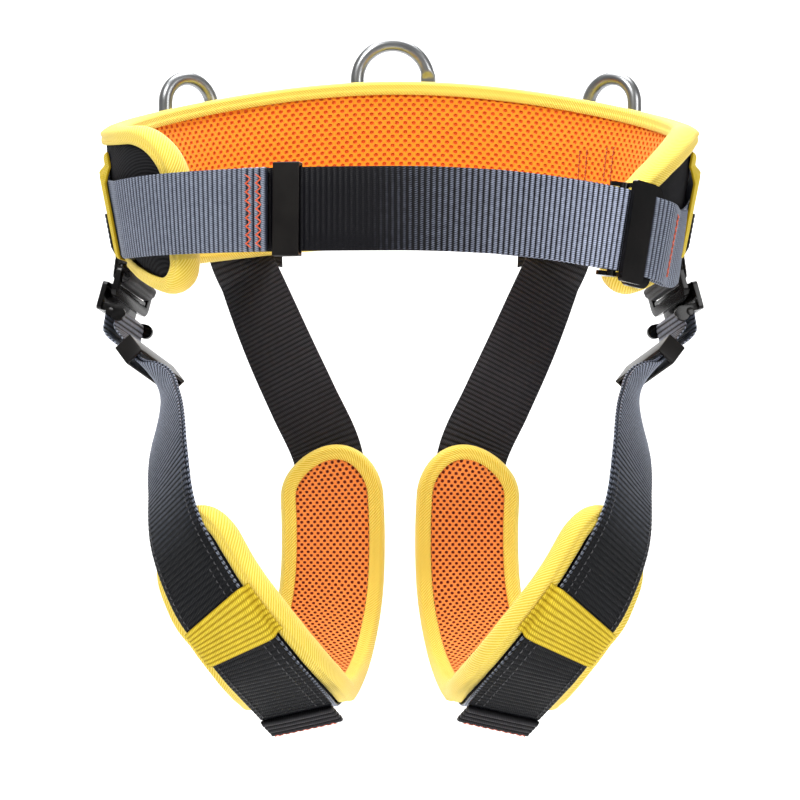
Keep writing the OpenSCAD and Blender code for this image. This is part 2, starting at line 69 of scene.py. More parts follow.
WEB_W, WEB_T, HEM_L, HEM_T = 45.0, 1.8, 14.0, 5.0
WEB_OFF = PAD_T + LIP_T + 4 * GAP
LOOP_OFF = WEB_OFF + WEB_T + 2 * GAP
MM_PER_DEG = (RING_A + RING_B + PAD_T) / 2 * math.pi / 180
BAR_X, BAR_Z, RAIL_X = -11.0, 5.0, 14.0
TURN_R, LOOP_R = 2.5 + GAP, 1.5 + 3 * GAP
BUCKLE_AT, RETURN_END, TURN_AT = 133.5, 104.0, 125.0
HEM_AT, STRAP_END, HIP_AT, ANCHOR_AT = 156.6, 238.0, -81.0, -34.0
RIB = 3.1
BAND_AT, BAND_SPAN, BAND_Z, BAND_H, SLEEVE_H = -98.5, 12.0, 14.0, 62.0, 25.0
UP, MIRROR = np.array([0.0, 0.0, 1.0]), np.array([-1.0, 1.0, 1.0])


# ---- vectors, and the belt's leaning oval sheet ----
def unit(v):
    v = np.asarray(v, float)
    return v / np.linalg.norm(v, axis=-1, keepdims=True)


def smooth(f):
    g = np.clip(f, 0, 1)
    return g * g * (3 - 2 * g)


def mix(a, b, f):
    return a + (b - a) * f


def on_belt(t, off, z):
    t, off, z = np.broadcast_arrays(np.asarray(t, float), off, z)
    r = np.radians(t)
    o = off + FLARE * np.sin(r) ** 2 * (z - FLARE_Z)
    return np.stack([(RING_A + o) * np.sin(r), (RING_B + o) * np.cos(r), z], -1)


def sheet_out(t, z):
    t = np.asarray(t, float)
    rise = on_belt(t, 0, z + 1) - on_belt(t, 0, z)
    return unit(np.cross(rise, on_belt(t + 0.5, PAD_T / 2, z) - on_belt(t - 0.5, PAD_T / 2, z)))


def corner(d, rx, rz, p):
    return rz * (1 - (1 - np.clip(d / rx, 0, 1) ** p) ** (1 / p))


def to_end(t):
    """Length of belt left between the angle t and the nearer end, in mm."""
    return np.where(t < 0, LEFT_END + t, RIGHT_END - t) * MM_PER_DEG


def past(t, rx):
    return rx - to_end(t)


def pad_top(t):
    share = (1 + np.cos(np.radians(t))) / 2
    cut = np.where(t < 0, corner(past(t, 36), 36, 32, 2), corner(past(t, 84), 84, 46, 1.3))
    return TIP_TOP + (BACK_TOP - TIP_TOP) * share ** 2.3 - cut


def pad_low(t):
    share = (1 + np.cos(np.radians(t))) / 2
    lobe = LOBE_DROP * smooth((np.abs(t) - 96) / 34)
    return SIDE_LOW + (BACK_LOW - SIDE_LOW) * share ** 4 - lobe + corner(past(t, 18), 18, 15, 2)


def web_z(t):
    t = np.asarray(t, float)
    x = RING_A * np.sin(np.radians(t)) / 140
    front = np.where(x > 0, 2 - 13 * x * x, 2 + 2 * x * x)
    return mix((pad_top(t) + pad_low(t)) / 2, front, smooth((np.abs(t) - 70) / 45))


def web_at(t, off):
    return on_belt(t, off, web_z(t))


def web_frame(t, off):
    """Middle, width direction and outward normal of the waist webbing at angles t."""
    p, d = web_at(t, off), unit(web_at(t + 1, off) - web_at(t - 1, off))
    q = sheet_out(t, web_z(t))
    n = unit(q - d * np.sum(q * d, -1, keepdims=True))
    return p, unit(np.cross(d, n)), n


def lengths(points):
    """Length along a line of points, from its first point to each of them."""
    return np.concatenate([[0], np.cumsum(np.linalg.norm(np.diff(points, axis=0), axis=1))])


def between(q, s, rows):
    """Rows known at lengths s, read off at lengths q."""
    return np.stack([np.interp(q, s, rows[:, i]) for i in range(rows.shape[1])], -1)


def same(v, count):
    return np.repeat(v[None], count, 0)


class Run:
    """The middle line of a strip, with its width direction and face normal at every station."""

    def __init__(self, *parts):
        self.p = np.concatenate([a[0] for a in parts])
        self.w = np.concatenate([a[1] for a in parts])
        self.n = np.concatenate([a[2] for a in parts])
        step = np.linalg.norm(np.diff(self.p, axis=0), axis=1)
        keep = np.concatenate([[True], step > 1e-4])
        self.p, self.w, self.n = self.p[keep], self.w[keep], self.n[keep]
        self.s = lengths(self.p)
        self.length = self.s[-1]

    def at(self, field, s):
        return between(s, self.s, field)

    def place(self, flat):
        s = np.clip(flat[:, 0], 0, self.length)
        run = unit(self.at(self.p, s + 0.5) - self.at(self.p, s - 0.5))
        spill = (flat[:, 0] - s)[:, None]
        return (self.at(self.p, s) + run * spill + unit(self.at(self.w, s)) * flat[:, 1:2]
                + unit(self.at(self.n, s)) * flat[:, 2:3])

    def near(self, point):
        return self.s[np.argmin(np.linalg.norm(self.p - point, axis=1))]


def round_bar(c, w, a, b, r):
    q = np.radians(np.arange(0, 181, 7.5))[:, None]
    d = a * np.cos(q) + b * np.sin(q)
    return c + d * r, same(w, len(d)), d


# ---- where the buckles stand ----
waist_u = unit(web_at(BUCKLE_AT - 2, WEB_OFF) - web_at(BUCKLE_AT + 2, WEB_OFF))
out = sheet_out(BUCKLE_AT, web_z(BUCKLE_AT))
waist_n = unit(out - waist_u * np.dot(out, waist_u))
waist_w = np.cross(waist_n, waist_u)
waist_o = web_at(BUCKLE_AT, WEB_OFF)
waist_bar = waist_o + waist_u * BAR_X + waist_n * BAR_Z
waist_rail = waist_o + waist_u * RAIL_X + waist_n * BAR_Z

hip_o = np.array([-162.0, 26.0, -42.0])
hip_u = unit([0.24, 0.14, 0.96])
lean = np.array([0.2, 0.95, -0.22])
hip_w = unit(lean - hip_u * np.dot(lean, hip_u))
hip_n = np.cross(hip_u, hip_w)
hip_bar = hip_o + hip_u * BAR_X + hip_n * BAR_Z
hip_rail = hip_o + hip_u * RAIL_X + hip_n * BAR_Z
STRAP_R = TURN_R + WEB_T / 2

# ---- the left leg loop's middle line on the pad's outer face ----
leg_pts = np.array([hip_bar - hip_n * STRAP_R, hip_bar - hip_n * STRAP_R - hip_u * 7,
    [-160, 20, -66], [-149, 13, -76], [-139, -2, -92], [-133, -36, -112], [-127, -75, -140],
    [-121, -97, -171], [-106, -110, -202], [-91, -113, -223], [-74, -102, -247], [-62, -70, -267],
    [-58, -25, -278], [-53, 20, -270], [-47, 52, -247], [-43, 68, -214], [-43, 75, -171],
    [-47, 78, -135], [-63, 84, -100], [-82, 96, -60], [-103, RING_B - 5, -12]], float)
leg_dirs = np.array([-hip_w, -hip_w, [-0.26, -0.94, 0.2], [-0.28, -0.93, 0.22], [0, -1, 0.05],
    [0.35, -0.9, 0.25], [0.5, -0.8, 0.33], [0.62, -0.67, 0.41], [0.75, -0.53, 0.38],
    [0.81, -0.47, 0.34], [0.9, -0.35, 0.25], [0.97, -0.15, 0.15], [1, 0, 0.08], [1, 0.03, 0.03],
    [1, 0, 0], [1, 0, 0], [1, 0, 0], [0.98, -0.03, 0.12], [0.93, -0.06, 0.34], [0.92, -0.2, 0.34],
    [0.85, -0.48, 0.2]], float)
FINE = 24


def bent(rows):
    """Smooth rows through the control rows, FINE to a span."""
    k, made = len(rows) - 1, []
    for i in range(k):
        a, b, c, d = rows[max(i - 1, 0)], rows[i], rows[i + 1], rows[min(i + 2, k)]
        for f in np.arange(FINE) / FINE:
            made.append(0.5 * (2 * b + (c - a) * f + (2 * a - 5 * b + 4 * c - d) * f * f
                               + (3 * b - a - 3 * c + d) * f ** 3))
    return np.array(made + [rows[-1]])


leg_p, leg_v = bent(leg_pts), bent(leg_dirs)
leg_s = lengths(leg_p)
LEG_TOTAL = leg_s[-1]
KEEPER_S, SLEEVE_S, LEAVE_S = leg_s[3 * FINE], leg_s[9 * FINE], leg_s[10 * FINE]
PAD_FRONT_S, PAD_BACK_S, JOIN_S = leg_s[7 * FINE] - 6, leg_s[17 * FINE], leg_s[16 * FINE]
PAD_R, PAD_INNER = 28.0, 11.0
STRAP_AIR = GAP + LIP_T + 0.3
TAIL_LIFT = WEB_T + 2 * GAP
TAIL_REST = 52.0


def leg_frame(s):
    s = np.clip(np.asarray(s, float), 0.01, LEG_TOTAL - 0.01)
    p, w = between(s, leg_s, leg_p), between(s, leg_s, leg_v)
    d = unit(between(s + 4, leg_s, leg_p) - between(s - 4, leg_s, leg_p))
    w = unit(w - d * np.sum(w * d, -1, keepdims=True))
    return p, d, w, np.cross(d, w)


def leg_part(s, lift, face=1):
    """Stations of a strip lying lift mm off the pad's outer face along lengths s."""
    p, d, w, n = leg_frame(s)
    return p + n * np.reshape(lift, (-1, 1)), w, n * face


def pad_half(s, e=0.0):
    r, d = PAD_R - e, np.minimum(s - PAD_FRONT_S, PAD_BACK_S - s) - e
    return np.where(d >= r, r, np.sqrt(np.maximum(r * r - (r - np.minimum(d, r)) ** 2, 0)))


def tail_n(s):
    return mix(2 * STRAP_R - WEB_T / 2, STRAP_AIR + TAIL_LIFT, smooth(s / KEEPER_S))


def base_n(s):
    return mix(-WEB_T / 2, STRAP_AIR, smooth(s / KEEPER_S))


# ---- shader groups: woven twill, ribbed yarn and surface variation ----
def empty_group(name, sizes, outs):
    """A shader group with a Place vector and named sizes in, and named values out."""
    tree = bpy.data.node_groups.new(name, "ShaderNodeTree")
    add = tree.interface.new_socket
    add(name="Place", in_out="INPUT", socket_type="NodeSocketVector")
    for label, size in sizes.items():
        add(name=label, in_out="INPUT", socket_type="NodeSocketFloat").default_value = size
    for label in outs:
        add(name=label, in_out="OUTPUT", socket_type="NodeSocketFloat")
    return tree, tree.nodes.new("NodeGroupInput"), tree.nodes.new("NodeGroupOutput")


class Value:
    """A shader value that adds, subtracts, multiplies and divides like a number."""

    def __init__(self, tree, socket):
        self.tree, self.socket = tree, socket

    def calc(self, op, *others):
        n = self.tree.nodes.new("ShaderNodeMath")
        n.operation = op
        for v, place in zip((self, *others), n.inputs):
            if isinstance(v, Value):
                v.to(place)
            else:
                place.default_value = v
        return Value(self.tree, n.outputs[0])

    def __add__(self, v):
        return self.calc("ADD", v)

    def __sub__(self, v):
        return self.calc("SUBTRACT", v)

    def __mul__(self, v):
        return self.calc("MULTIPLY", v)

    def wave(self, pitch):
        return (self.calc("DIVIDE", pitch) * (2 * math.pi)).calc("SINE")

    def to(self, socket):
        self.tree.links.new(self.socket, socket)


def xyz(tree, vector):
    sep = tree.nodes.new("ShaderNodeSeparateXYZ")
    tree.links.new(vector, sep.inputs[0])
    return [Value(tree, socket) for socket in sep.outputs]


def noise_node(tree, place, detail):
    noise = tree.nodes.new("ShaderNodeTexNoise")
    noise.inputs["Detail"].default_value = detail
    tree.links.new(place, noise.inputs["Vector"])
    return noise


def twill_group():
    """Diagonal twill: raised lines at a pitch, broken into yarns. Works on a vector in mm."""
    tree, gi, go = empty_group("TwillWeave", {"Pitch": 1.6, "Yarn": 0.8}, ("Height", "Line"))
    x, y, z = xyz(tree, gi.outputs["Place"])
    line = (x + y + z * 0.9).wave(Value(tree, gi.outputs["Pitch"]))
    yarn = (x + z - y * 0.8).wave(Value(tree, gi.outputs["Yarn"]))
    (line + yarn * 0.35).to(go.inputs["Height"])
    ((line + 1.0) * 0.5).to(go.inputs["Line"])
    return tree


def yarn_group():
    """Slanting yarns of webbing, on a vector in mm. Puts out a height and a glint mask."""
    tree, gi, go = empty_group("WebbingYarn", {"Yarn": 1.15}, ("Height", "Glint"))
    x, y, _ = xyz(tree, gi.outputs["Place"])
    strand = ((y + x * 0.35).wave(Value(tree, gi.outputs["Yarn"])) + 1.0) * 0.5
    noise = noise_node(tree, gi.outputs["Place"], 4.0)
    noise.inputs["Scale"].default_value = 0.35
    # random patches where the painted glint on the yarns is stronger or weaker
    glint_patches = Value(tree, noise.outputs["Fac"]) * 0.7 + 0.55
    strand.to(go.inputs["Height"])
    ((strand * 0.6 + 0.4) * glint_patches).to(go.inputs["Glint"])
    return tree


def variation_group():
    """Slow cloudy change of tone and a fine speck, for cloth, plastic and metal."""
    tree, gi, go = empty_group("ToneVariation", {"Cloud": 20.0, "Speck": 400.0}, ("Cloud", "Speck"))
    for label, detail in (("Cloud", 3.0), ("Speck", 6.0)):
        noise = noise_node(tree, gi.outputs["Place"], detail)
        tree.links.new(gi.outputs[label], noise.inputs["Scale"])
        tree.links.new(noise.outputs["Fac"], go.inputs[label])
    return tree


TWILL, YARN, VARIATION = twill_group(), yarn_group(), variation_group()


class Finish:
    """One material being put together: its tree, its Principled shader and short ways to link."""

    def __init__(self, name, rough, metal=0.0, sheen=0.0, coat=0.0, spec=0.5, coat_rough=0.1):
        self.mat = bpy.data.materials.new(name)
        self.mat.use_nodes = True
        self.tree = self.mat.node_tree
        self.bsdf = self.tree.nodes["Principled BSDF"]
        for label, value in (("Roughness", rough), ("Metallic", metal), ("Sheen Weight", sheen),
                             ("Coat Weight", coat), ("Specular IOR Level", spec),
                             ("Coat Roughness", coat_rough)):
            self.bsdf.inputs[label].default_value = value
        self.place = self.tree.nodes.new("ShaderNodeTexCoord")

    def scaled(self, socket, factor):
        m = self.tree.nodes.new("ShaderNodeMapping")
        m.inputs["Scale"].default_value = (factor, factor, factor)
        self.tree.links.new(socket, m.inputs["Vector"])
        return m.outputs[0]

    def group(self, tree, place, **values):
        g = self.tree.nodes.new("ShaderNodeGroup")
        g.node_tree = tree
        self.tree.links.new(place, g.inputs["Place"])
        for label, value in values.items():
            g.inputs[label].default_value = value
        return g

    def ramp(self, fac, *stops):
        r = self.tree.nodes.new("ShaderNodeValToRGB")
        while len(r.color_ramp.elements) < len(stops):
            r.color_ramp.elements.new(0.5)
        for e, (at, color) in zip(r.color_ramp.elements, stops):
            e.position, e.color = at, (*color, 1)
        self.tree.links.new(fac, r.inputs["Fac"])
        return r.outputs["Color"]

    def tinted(self, color, fac, shade):
        m = self.tree.nodes.new("ShaderNodeMix")
        m.data_type, m.blend_type = "RGBA", "MULTIPLY"
        self.tree.links.new(fac, m.inputs[0])
        self.tree.links.new(color, m.inputs[6])
        m.inputs[7].default_value = (*shade, 1)
        return m.outputs[2]

    def color(self, socket):
        self.tree.links.new(socket, self.bsdf.inputs["Base Color"])

    def ranged(self, value, *ends):
        """Maps from_min..from_max to to_min..to_max, clamped."""
        r = self.tree.nodes.new("ShaderNodeMapRange")
        for label, end in zip(("From Min", "From Max", "To Min", "To Max"), ends):
            r.inputs[label].default_value = end
        self.tree.links.new(value, r.inputs["Value"])
        return r.outputs[0]

    def rough(self, fac, low, high):
        self.tree.links.new(self.ranged(fac, 0, 1, low, high), self.bsdf.inputs["Roughness"])

    def bump(self, height, strength, distance):
        b = self.tree.nodes.new("ShaderNodeBump")
        b.inputs["Strength"].default_value, b.inputs["Distance"].default_value = strength, distance
        self.tree.links.new(height, b.inputs["Height"])
        self.tree.links.new(b.outputs[0], self.bsdf.inputs["Normal"])


def webbing_finish(name, dark, light, rough=0.42, highlight_fade=None):
    """Ribbed webbing: a painted highlight (glint) on the crests and painted shade in the grooves. The fade is
    two lengths along it in mm, and the share of the painted highlight that shows at each."""
    f = Finish(name, rough, spec=0.16)
    place = f.scaled(f.place.outputs["UV"], 10.0)
    yarn = f.group(YARN, place)
    cloud = f.group(VARIATION, place, Cloud=0.05, Speck=2.4)
    groove = f.tree.nodes.new("ShaderNodeAttribute")
    groove.attribute_name = "depth"
    # crest is high on the rib tops and low in the grooves: painted highlight on the crests, painted shade in
    # the grooves
    crest = (Value(f.tree, groove.outputs["Fac"]) * -1.0 + 1.0).calc("POWER", 0.9)
    lit = crest * Value(f.tree, yarn.outputs["Glint"])
    # the painted highlight fades out along the strap's length
    if highlight_fade:
        lit = lit * Value(f.tree, f.ranged(xyz(f.tree, place)[0].socket, *highlight_fade))
    color = f.ramp(lit.socket, (0.12, dark), (0.85, light))
    f.color(f.tinted(color, cloud.outputs["Cloud"], (0.75, 0.75, 0.78)))
    f.rough(cloud.outputs["Speck"], rough - 0.1, rough + 0.15)
    f.bump(yarn.outputs["Height"], 0.5, 0.00025)
    return f.mat


def twill_finish(name, dark, light, pitch, yarn_pitch, rough, from_uv, depth, sheen=0.2):
    f = Finish(name, rough, sheen=sheen, spec=0.15)
    place = f.scaled(*((f.place.outputs["UV"], 10.0) if from_uv else (f.place.outputs["Object"], 1000.0)))
    weave = f.group(TWILL, place, Pitch=pitch, Yarn=yarn_pitch)
    cloud = f.group(VARIATION, place, Cloud=0.04, Speck=1.5)
    color = f.ramp(weave.outputs["Line"], (0.1, dark), (0.8, light))
    f.color(f.tinted(color, cloud.outputs["Cloud"], (0.9, 0.88, 0.84)))
    f.rough(cloud.outputs["Speck"], rough - 0.08, rough + 0.1)
    f.bump(weave.outputs["Height"], 0.6, depth)
    return f.mat


def mesh_finish(name, face, pit):
    """Spacer mesh: painted shade makes the pits darker than the face, and the face has fine knitted yarns."""
    f = Finish(name, 0.72, sheen=0.25, spec=0.3)
    place = f.scaled(f.place.outputs["UV"], 10.0)
    depth = f.tree.nodes.new("ShaderNodeAttribute")
    depth.attribute_name = "depth"
    knit = f.group(TWILL, place, Pitch=0.7, Yarn=0.5)
    cloud = f.group(VARIATION, place, Cloud=0.03, Speck=2.0)
    # painted shade: the colour goes from the face colour to the darker pit colour as the cell gets deeper
    color = f.ramp(depth.outputs["Fac"], (0.05, face), (0.7, pit))
    f.color(f.tinted(color, cloud.outputs["Cloud"], (1.0, 0.86, 0.8)))
    f.bump(knit.outputs["Height"], 0.35, 0.00012)
    return f.mat


def hard_finish(name, low, high, rough, metal, coat, speck=900.0, strength=0.05, spec=0.5):
    f = Finish(name, rough, metal=metal, coat=coat, spec=spec)
    cloud = f.group(VARIATION, f.place.outputs["Object"], Cloud=60.0, Speck=speck)
    f.color(f.ramp(cloud.outputs["Cloud"], (0.3, low), (0.7, high)))
    f.rough(cloud.outputs["Speck"], rough - 0.05, rough + 0.09)
    f.bump(cloud.outputs["Speck"], strength, 0.0002)
    return f.mat


# Each webbing: dark is its own colour, left bare in the grooves as painted shade; light is the painted
# highlight on the crests, on the blue-grey and yellow webbing partly the yarn's own paler tone.
BLACK_WEB = webbing_finish("BlackWebbing", (0.003, 0.003, 0.004), (0.035, 0.033, 0.038))
BELT_WEB = webbing_finish("BlueGreyWebbing", (0.020, 0.023, 0.036), (0.33, 0.37, 0.46))
# Front and leg straps: the painted highlight fades out between two lengths along the strap.
FRONT_WEB = webbing_finish("FrontStrapWebbing", (0.002, 0.002, 0.004), (0.56, 0.62, 0.80), 0.4,
                           (90, 230, 1.0, 0.1))
LEG_WEB = webbing_finish("LegStrapWebbing", (0.003, 0.0035, 0.005), (0.36, 0.40, 0.50), 0.45,
                         (650, 775, 1.0, 0.07))
YELLOW_WEB = webbing_finish("YellowWebbing", (0.42, 0.27, 0.004), (0.92, 0.70, 0.05), 0.55)
YELLOW_TWILL = twill_finish("YellowTwill", (0.80, 0.55, 0.03), (1.0, 0.80, 0.17), 2.0, 1.0, 0.6, True,
                            0.00022)
BLACK_TWILL = twill_finish("BlackTwill", (0.003, 0.003, 0.004), (0.016, 0.016, 0.019), 1.6, 0.8, 0.8,
                           False, 0.0002, 0.0)
# The second colour of each is the painted shade at the bottom of the pits.
BELT_MESH = mesh_finish("OrangeMesh", (1.0, 0.31, 0.003), (0.78, 0.12, 0.001))
LEG_MESH = mesh_finish("OrangeLegMesh", (1.0, 0.30, 0.05), (0.22, 0.03, 0.003))
STEEL = hard_finish("BrightSteel", (0.22, 0.225, 0.23), (0.34, 0.345, 0.35), 0.3, 1.0, 0.0)
BLACK_STEEL = hard_finish("BlackCoatedSteel", (0.002, 0.002, 0.002), (0.005, 0.004, 0.004), 0.17, 0.0,
                          0.06, spec=0.2)
PLASTIC = hard_finish("BlackPlastic", (0.004, 0.003, 0.003), (0.009, 0.008, 0.007), 0.33, 0.0, 0.0,
                      1500.0, 0.1, 0.22)


def thread_finish(name, color):
    f = Finish(name, 0.55, sheen=0.3)
    cloud = f.group(VARIATION, f.place.outputs["Object"], Cloud=300.0, Speck=2500.0)
    f.color(f.ramp(cloud.outputs["Cloud"], (0.3, tuple(c * 0.75 for c in color)), (0.7, color)))
    f.bump(cloud.outputs["Speck"], 0.3, 0.0001)
    return f.mat


ORANGE_THREAD = thread_finish("OrangeThread", (0.85, 0.10, 0.012))
RED_THREAD = thread_finish("DarkRedThread", (0.38, 0.025, 0.005))
BLACK_THREAD = thread_finish("GreyThread", (0.045, 0.045, 0.05))
YELLOW_THREAD = thread_finish("YellowThread", (0.95, 0.62, 0.06))


# ---- one geometry tree repeats a small piece over given points ----
def repeat_tree():
    tree = bpy.data.node_groups.new("RepeatPiece", "GeometryNodeTree")
    for label, kind in (("Points", "NodeSocketGeometry"), ("Piece", "NodeSocketObject"),
                        ("Size", "NodeSocketVector"), ("Finish", "NodeSocketMaterial")):
        tree.interface.new_socket(name=label, in_out="INPUT", socket_type=kind)
    tree.interface.new_socket(name="Geometry", in_out="OUTPUT", socket_type="NodeSocketGeometry")
    node = tree.nodes.new
    gi, go, info = node("NodeGroupInput"), node("NodeGroupOutput"), node("GeometryNodeObjectInfo")
    turn, spin = node("GeometryNodeInputNamedAttribute"), node("ShaderNodeCombineXYZ")
    turn.data_type = "FLOAT"
    turn.inputs["Name"].default_value = "turn"
    put, real, paint = (node("GeometryNodeInstanceOnPoints"), node("GeometryNodeRealizeInstances"),
                        node("GeometryNodeSetMaterial"))
    for a, b in ((gi.outputs["Points"], put.inputs["Points"]),
                 (gi.outputs["Piece"], info.inputs["Object"]),
                 (info.outputs["Geometry"], put.inputs["Instance"]),
                 (gi.outputs["Size"], put.inputs["Scale"]),
                 (turn.outputs["Attribute"], spin.inputs["Z"]), (spin.outputs[0], put.inputs["Rotation"]),
                 (put.outputs[0], real.inputs[0]), (real.outputs[0], paint.inputs["Geometry"]),
                 (gi.outputs["Finish"], paint.inputs["Material"]), (paint.outputs[0], go.inputs[0])):
        tree.links.new(a, b)
    return tree


REPEAT = repeat_tree()


def plain_mesh(name, verts, faces):
    me = bpy.data.meshes.new(name)
    me.from_pydata(np.asarray(verts, float).tolist(), [], faces)
    me.update()
    return me


def linked(name, me):
    ob = bpy.data.objects.new(name, me)
    bpy.context.scene.collection.objects.link(ob)
    return ob


def evaluated(ob):
    return bpy.data.meshes.new_from_object(ob.evaluated_get(bpy.context.evaluated_depsgraph_get()))


def give_values(me, name, values):
    me.attributes.new(name, "FLOAT", "POINT").data.foreach_set("value", np.array(values, np.float32))


def repeated(points, tile, size, finish, turn=0.0):
    """Puts the tile, a (verts, faces, depth) triple, on flat points and returns one plain mesh."""
    verts, faces, depth = tile
    tile_me = plain_mesh("tile", verts, faces)
    if depth is not None:
        give_values(tile_me, "depth", depth)
    me = plain_mesh("points", points, [])
    give_values(me, "turn", np.broadcast_to(turn, len(points)))
    tile_ob, ob = linked("tile", tile_me), linked("points", me)
    mod = ob.modifiers.new("repeat", "NODES")
    mod.node_group = REPEAT
    given = {"Piece": tile_ob, "Size": tuple(float(v) for v in size), "Finish": finish}
    for item in REPEAT.interface.items_tree:
        if item.in_out == "INPUT" and item.name in given:
            mod[item.identifier] = given[item.name]
    made = evaluated(ob)
    for o in (tile_ob, ob):
        bpy.data.objects.remove(o)
    return made


def read_co(me):
    co = np.zeros(len(me.vertices) * 3)
    me.vertices.foreach_get("co", co)
    return co.reshape(-1, 3)


def give_uv(me, flat):
    """The flat place of every vertex, in tens of millimetres, becomes its UV."""
    loops = np.zeros(len(me.loops), int)
    me.loops.foreach_get("vertex_index", loops)
    layer = me.uv_layers.new(name="UVMap")
    layer.data.foreach_set("uv", (flat[loops, :2] / 10).ravel())


def lay(me, place, mirrored=False, sharp=40):
    """Wraps a flat mesh (along, across, out in mm) onto a surface, in metres, right way out."""
    flat = read_co(me)
    give_uv(me, flat)
    mid = flat.mean(0)
    probe = place(np.array([mid, mid + [0.3, 0, 0], mid + [0, 0.3, 0], mid + [0, 0, 0.3]]))
    turned = np.linalg.det(probe[1:] - probe[0]) < 0
    co = place(flat)
    if mirrored:
        co = co * MIRROR
        turned = not turned
    me.vertices.foreach_set("co", (co / 1000).ravel())
    if turned:
        me.flip_normals()
    finish_mesh(me, sharp)
    return me


def finish_mesh(me, sharp=40):
    me.polygons.foreach_set("use_smooth", np.ones(len(me.polygons), bool))
    me.set_sharp_from_angle(angle=math.radians(sharp))
    me.update()


def piece(name, meshes, body, nodes=(), blend=None):
    """Joins meshes into one named object that rides on a body, or stays where it was made when blend is
    given, and stands for CAD nodes.
    """
    meshes = meshes if isinstance(meshes, list) else [meshes]
    obs = [linked(f"{name}_{i}", me) for i, me in enumerate(meshes)]
    ob = obs[0]
    if len(obs) > 1:
        with bpy.context.temp_override(active_object=ob, object=ob, selected_objects=obs,
                                       selected_editable_objects=obs):
            bpy.ops.object.join()
    ob.name = name
    ob.data.name = name
    if blend:
        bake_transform(ob)
    else:
        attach(ob, body)
    if nodes:
        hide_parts(*([nodes] if isinstance(nodes, str) else nodes))
    return ob


# ---- small pieces that repeat ----
def rib_tile(half):
    """One cross rib of webbing: unit pitch, width and half thickness, with soft selvedges. Half
    holds the places across it from the middle to the edge."""
    face = [(v, 1.0 if v < 0.48 else 0.85) for v in half]
    top = [(-v, h) for v, h in reversed(face)] + face[1:]
    edge = [(0.5, 0.35), (0.5, -0.35)]
    loop = top + edge + [(v, -h) for v, h in reversed(top)] + [(-0.5, -0.35), (-0.5, 0.35)]
    rows = [(-0.5, 0.5, 1), (-0.36, 0.78, 0.6), (-0.14, 1, 0),
            (0.14, 1, 0), (0.36, 0.78, 0.6), (0.5, 0.5, 1)]
    verts = [(x, v, h * k) for x, k, _ in rows for v, h in loop]
    depth = [deep for _, _, deep in rows for _ in loop]
    m = len(loop)
    faces = [[i * m + j, (i + 1) * m + j, (i + 1) * m + (j + 1) % m, i * m + (j + 1) % m]
             for i in range(len(rows) - 1) for j in range(m)]
    faces += [list(range(m)), list(range(len(verts) - 1, len(verts) - m - 1, -1))]
    return closed(verts, faces) + (depth,)


def closed(verts, faces):
    """Turns every face of a small closed shape outwards."""
    bm = bmesh.new()
    vs = [bm.verts.new(v) for v in verts]
    for f in faces:
        bm.faces.new([vs[i] for i in f])
    bmesh.ops.recalc_face_normals(bm, faces=bm.faces)
    bm.verts.index_update()
    made = [list(v.index for v in f.verts) for f in bm.faces]
    bm.free()
    return verts, made


def cell_tile():
    """One six-sided cell of spacer mesh with an oval pit; cells close up in shifted rows."""
    six = [(.5, .375), (0, .625), (-.5, .375), (-.5, -.375), (0, -.625), (.5, -.375)]
    rings = [(1, 1, 0, 0), (.5, .7, .1, .15), (.38, .56, -.9, 1), (1, 1, -1.5, 0)]
    verts, depth = [], []
    for kx, ky, h, deep in rings:
        verts += [(x * kx, y * ky, h) for x, y in six]
        depth += [deep] * 6
    faces = [[a * 6 + j, a * 6 + (j + 1) % 6, b * 6 + (j + 1) % 6, b * 6 + j]
             for a, b in ((0, 1), (1, 2), (0, 3)) for j in range(6)]
    faces += [list(range(12, 18)), list(range(18, 24))]
    return closed(verts, faces) + (depth,)


def stitch_tile():
    """One stitch: unit long, a rounded thread whose ends dip into the cloth."""
    rows = [(-.5, .35, -.6), (-.32, .8, .1), (0, 1, .45), (.32, .8, .1), (.5, .35, -.6)]
    ring = [(math.cos(a), math.sin(a)) for a in np.radians([30, 90, 150, 210, 270, 330])]
    verts = [(x, c * k * .5, lift + s * k * .5) for x, k, lift in rows for c, s in ring]
    faces = [[i * 6 + j, (i + 1) * 6 + j, (i + 1) * 6 + (j + 1) % 6, i * 6 + (j + 1) % 6]
             for i in range(4) for j in range(6)]
    faces += [list(range(6)), list(range(24, 30))]
    return closed(verts, faces) + (None,)


RIB_TILE, CELL_TILE, STITCH_TILE = rib_tile([0, 0.25, 0.485]), cell_tile(), stitch_tile()
BRIDGE_TILE = rib_tile([0, 0.1, 0.2, 0.3, 0.36, 0.385, 0.41, 0.425, 0.44, 0.455, 0.47, 0.485])


def ribbed(tile, count, length, width, thick, finish, start=0.0):
    """Flat webbing from start: count ribs that just overlap."""
    pitch = length / count
    points = [((i + 0.5) * pitch + start, 0, 0) for i in range(count)]
    return repeated(points, tile, (pitch * 1.01, width, thick / 2), finish)


def webbing(run, finish, length=None, width=WEB_W, mirrored=False):
    """Ribbed webbing along a run, rib by rib."""
    length = length or run.length
    return lay(ribbed(RIB_TILE, round(length / RIB), length, width, WEB_T, finish), run.place, mirrored)


def stitches(run, rows, finish, length=2.6, thread=0.55, mirrored=False):
    """Rows of stitches; each row is (along0, across0, along1, across1, out, pitch)."""
    points, turns = [], []
    for a0, c0, a1, c1, out_, pitch in rows:
        far = math.hypot(a1 - a0, c1 - c0)
        k = max(int(far / pitch), 1)
        for i in range(k):
            f = (i + 0.5) / k
            points.append((mix(a0, a1, f), mix(c0, c1, f), out_))
            turns.append(math.atan2(c1 - c0, a1 - a0))
    me = repeated(points, STITCH_TILE, (length, thread, thread), finish, np.array(turns))
    return lay(me, run.place if isinstance(run, Run) else run, mirrored)


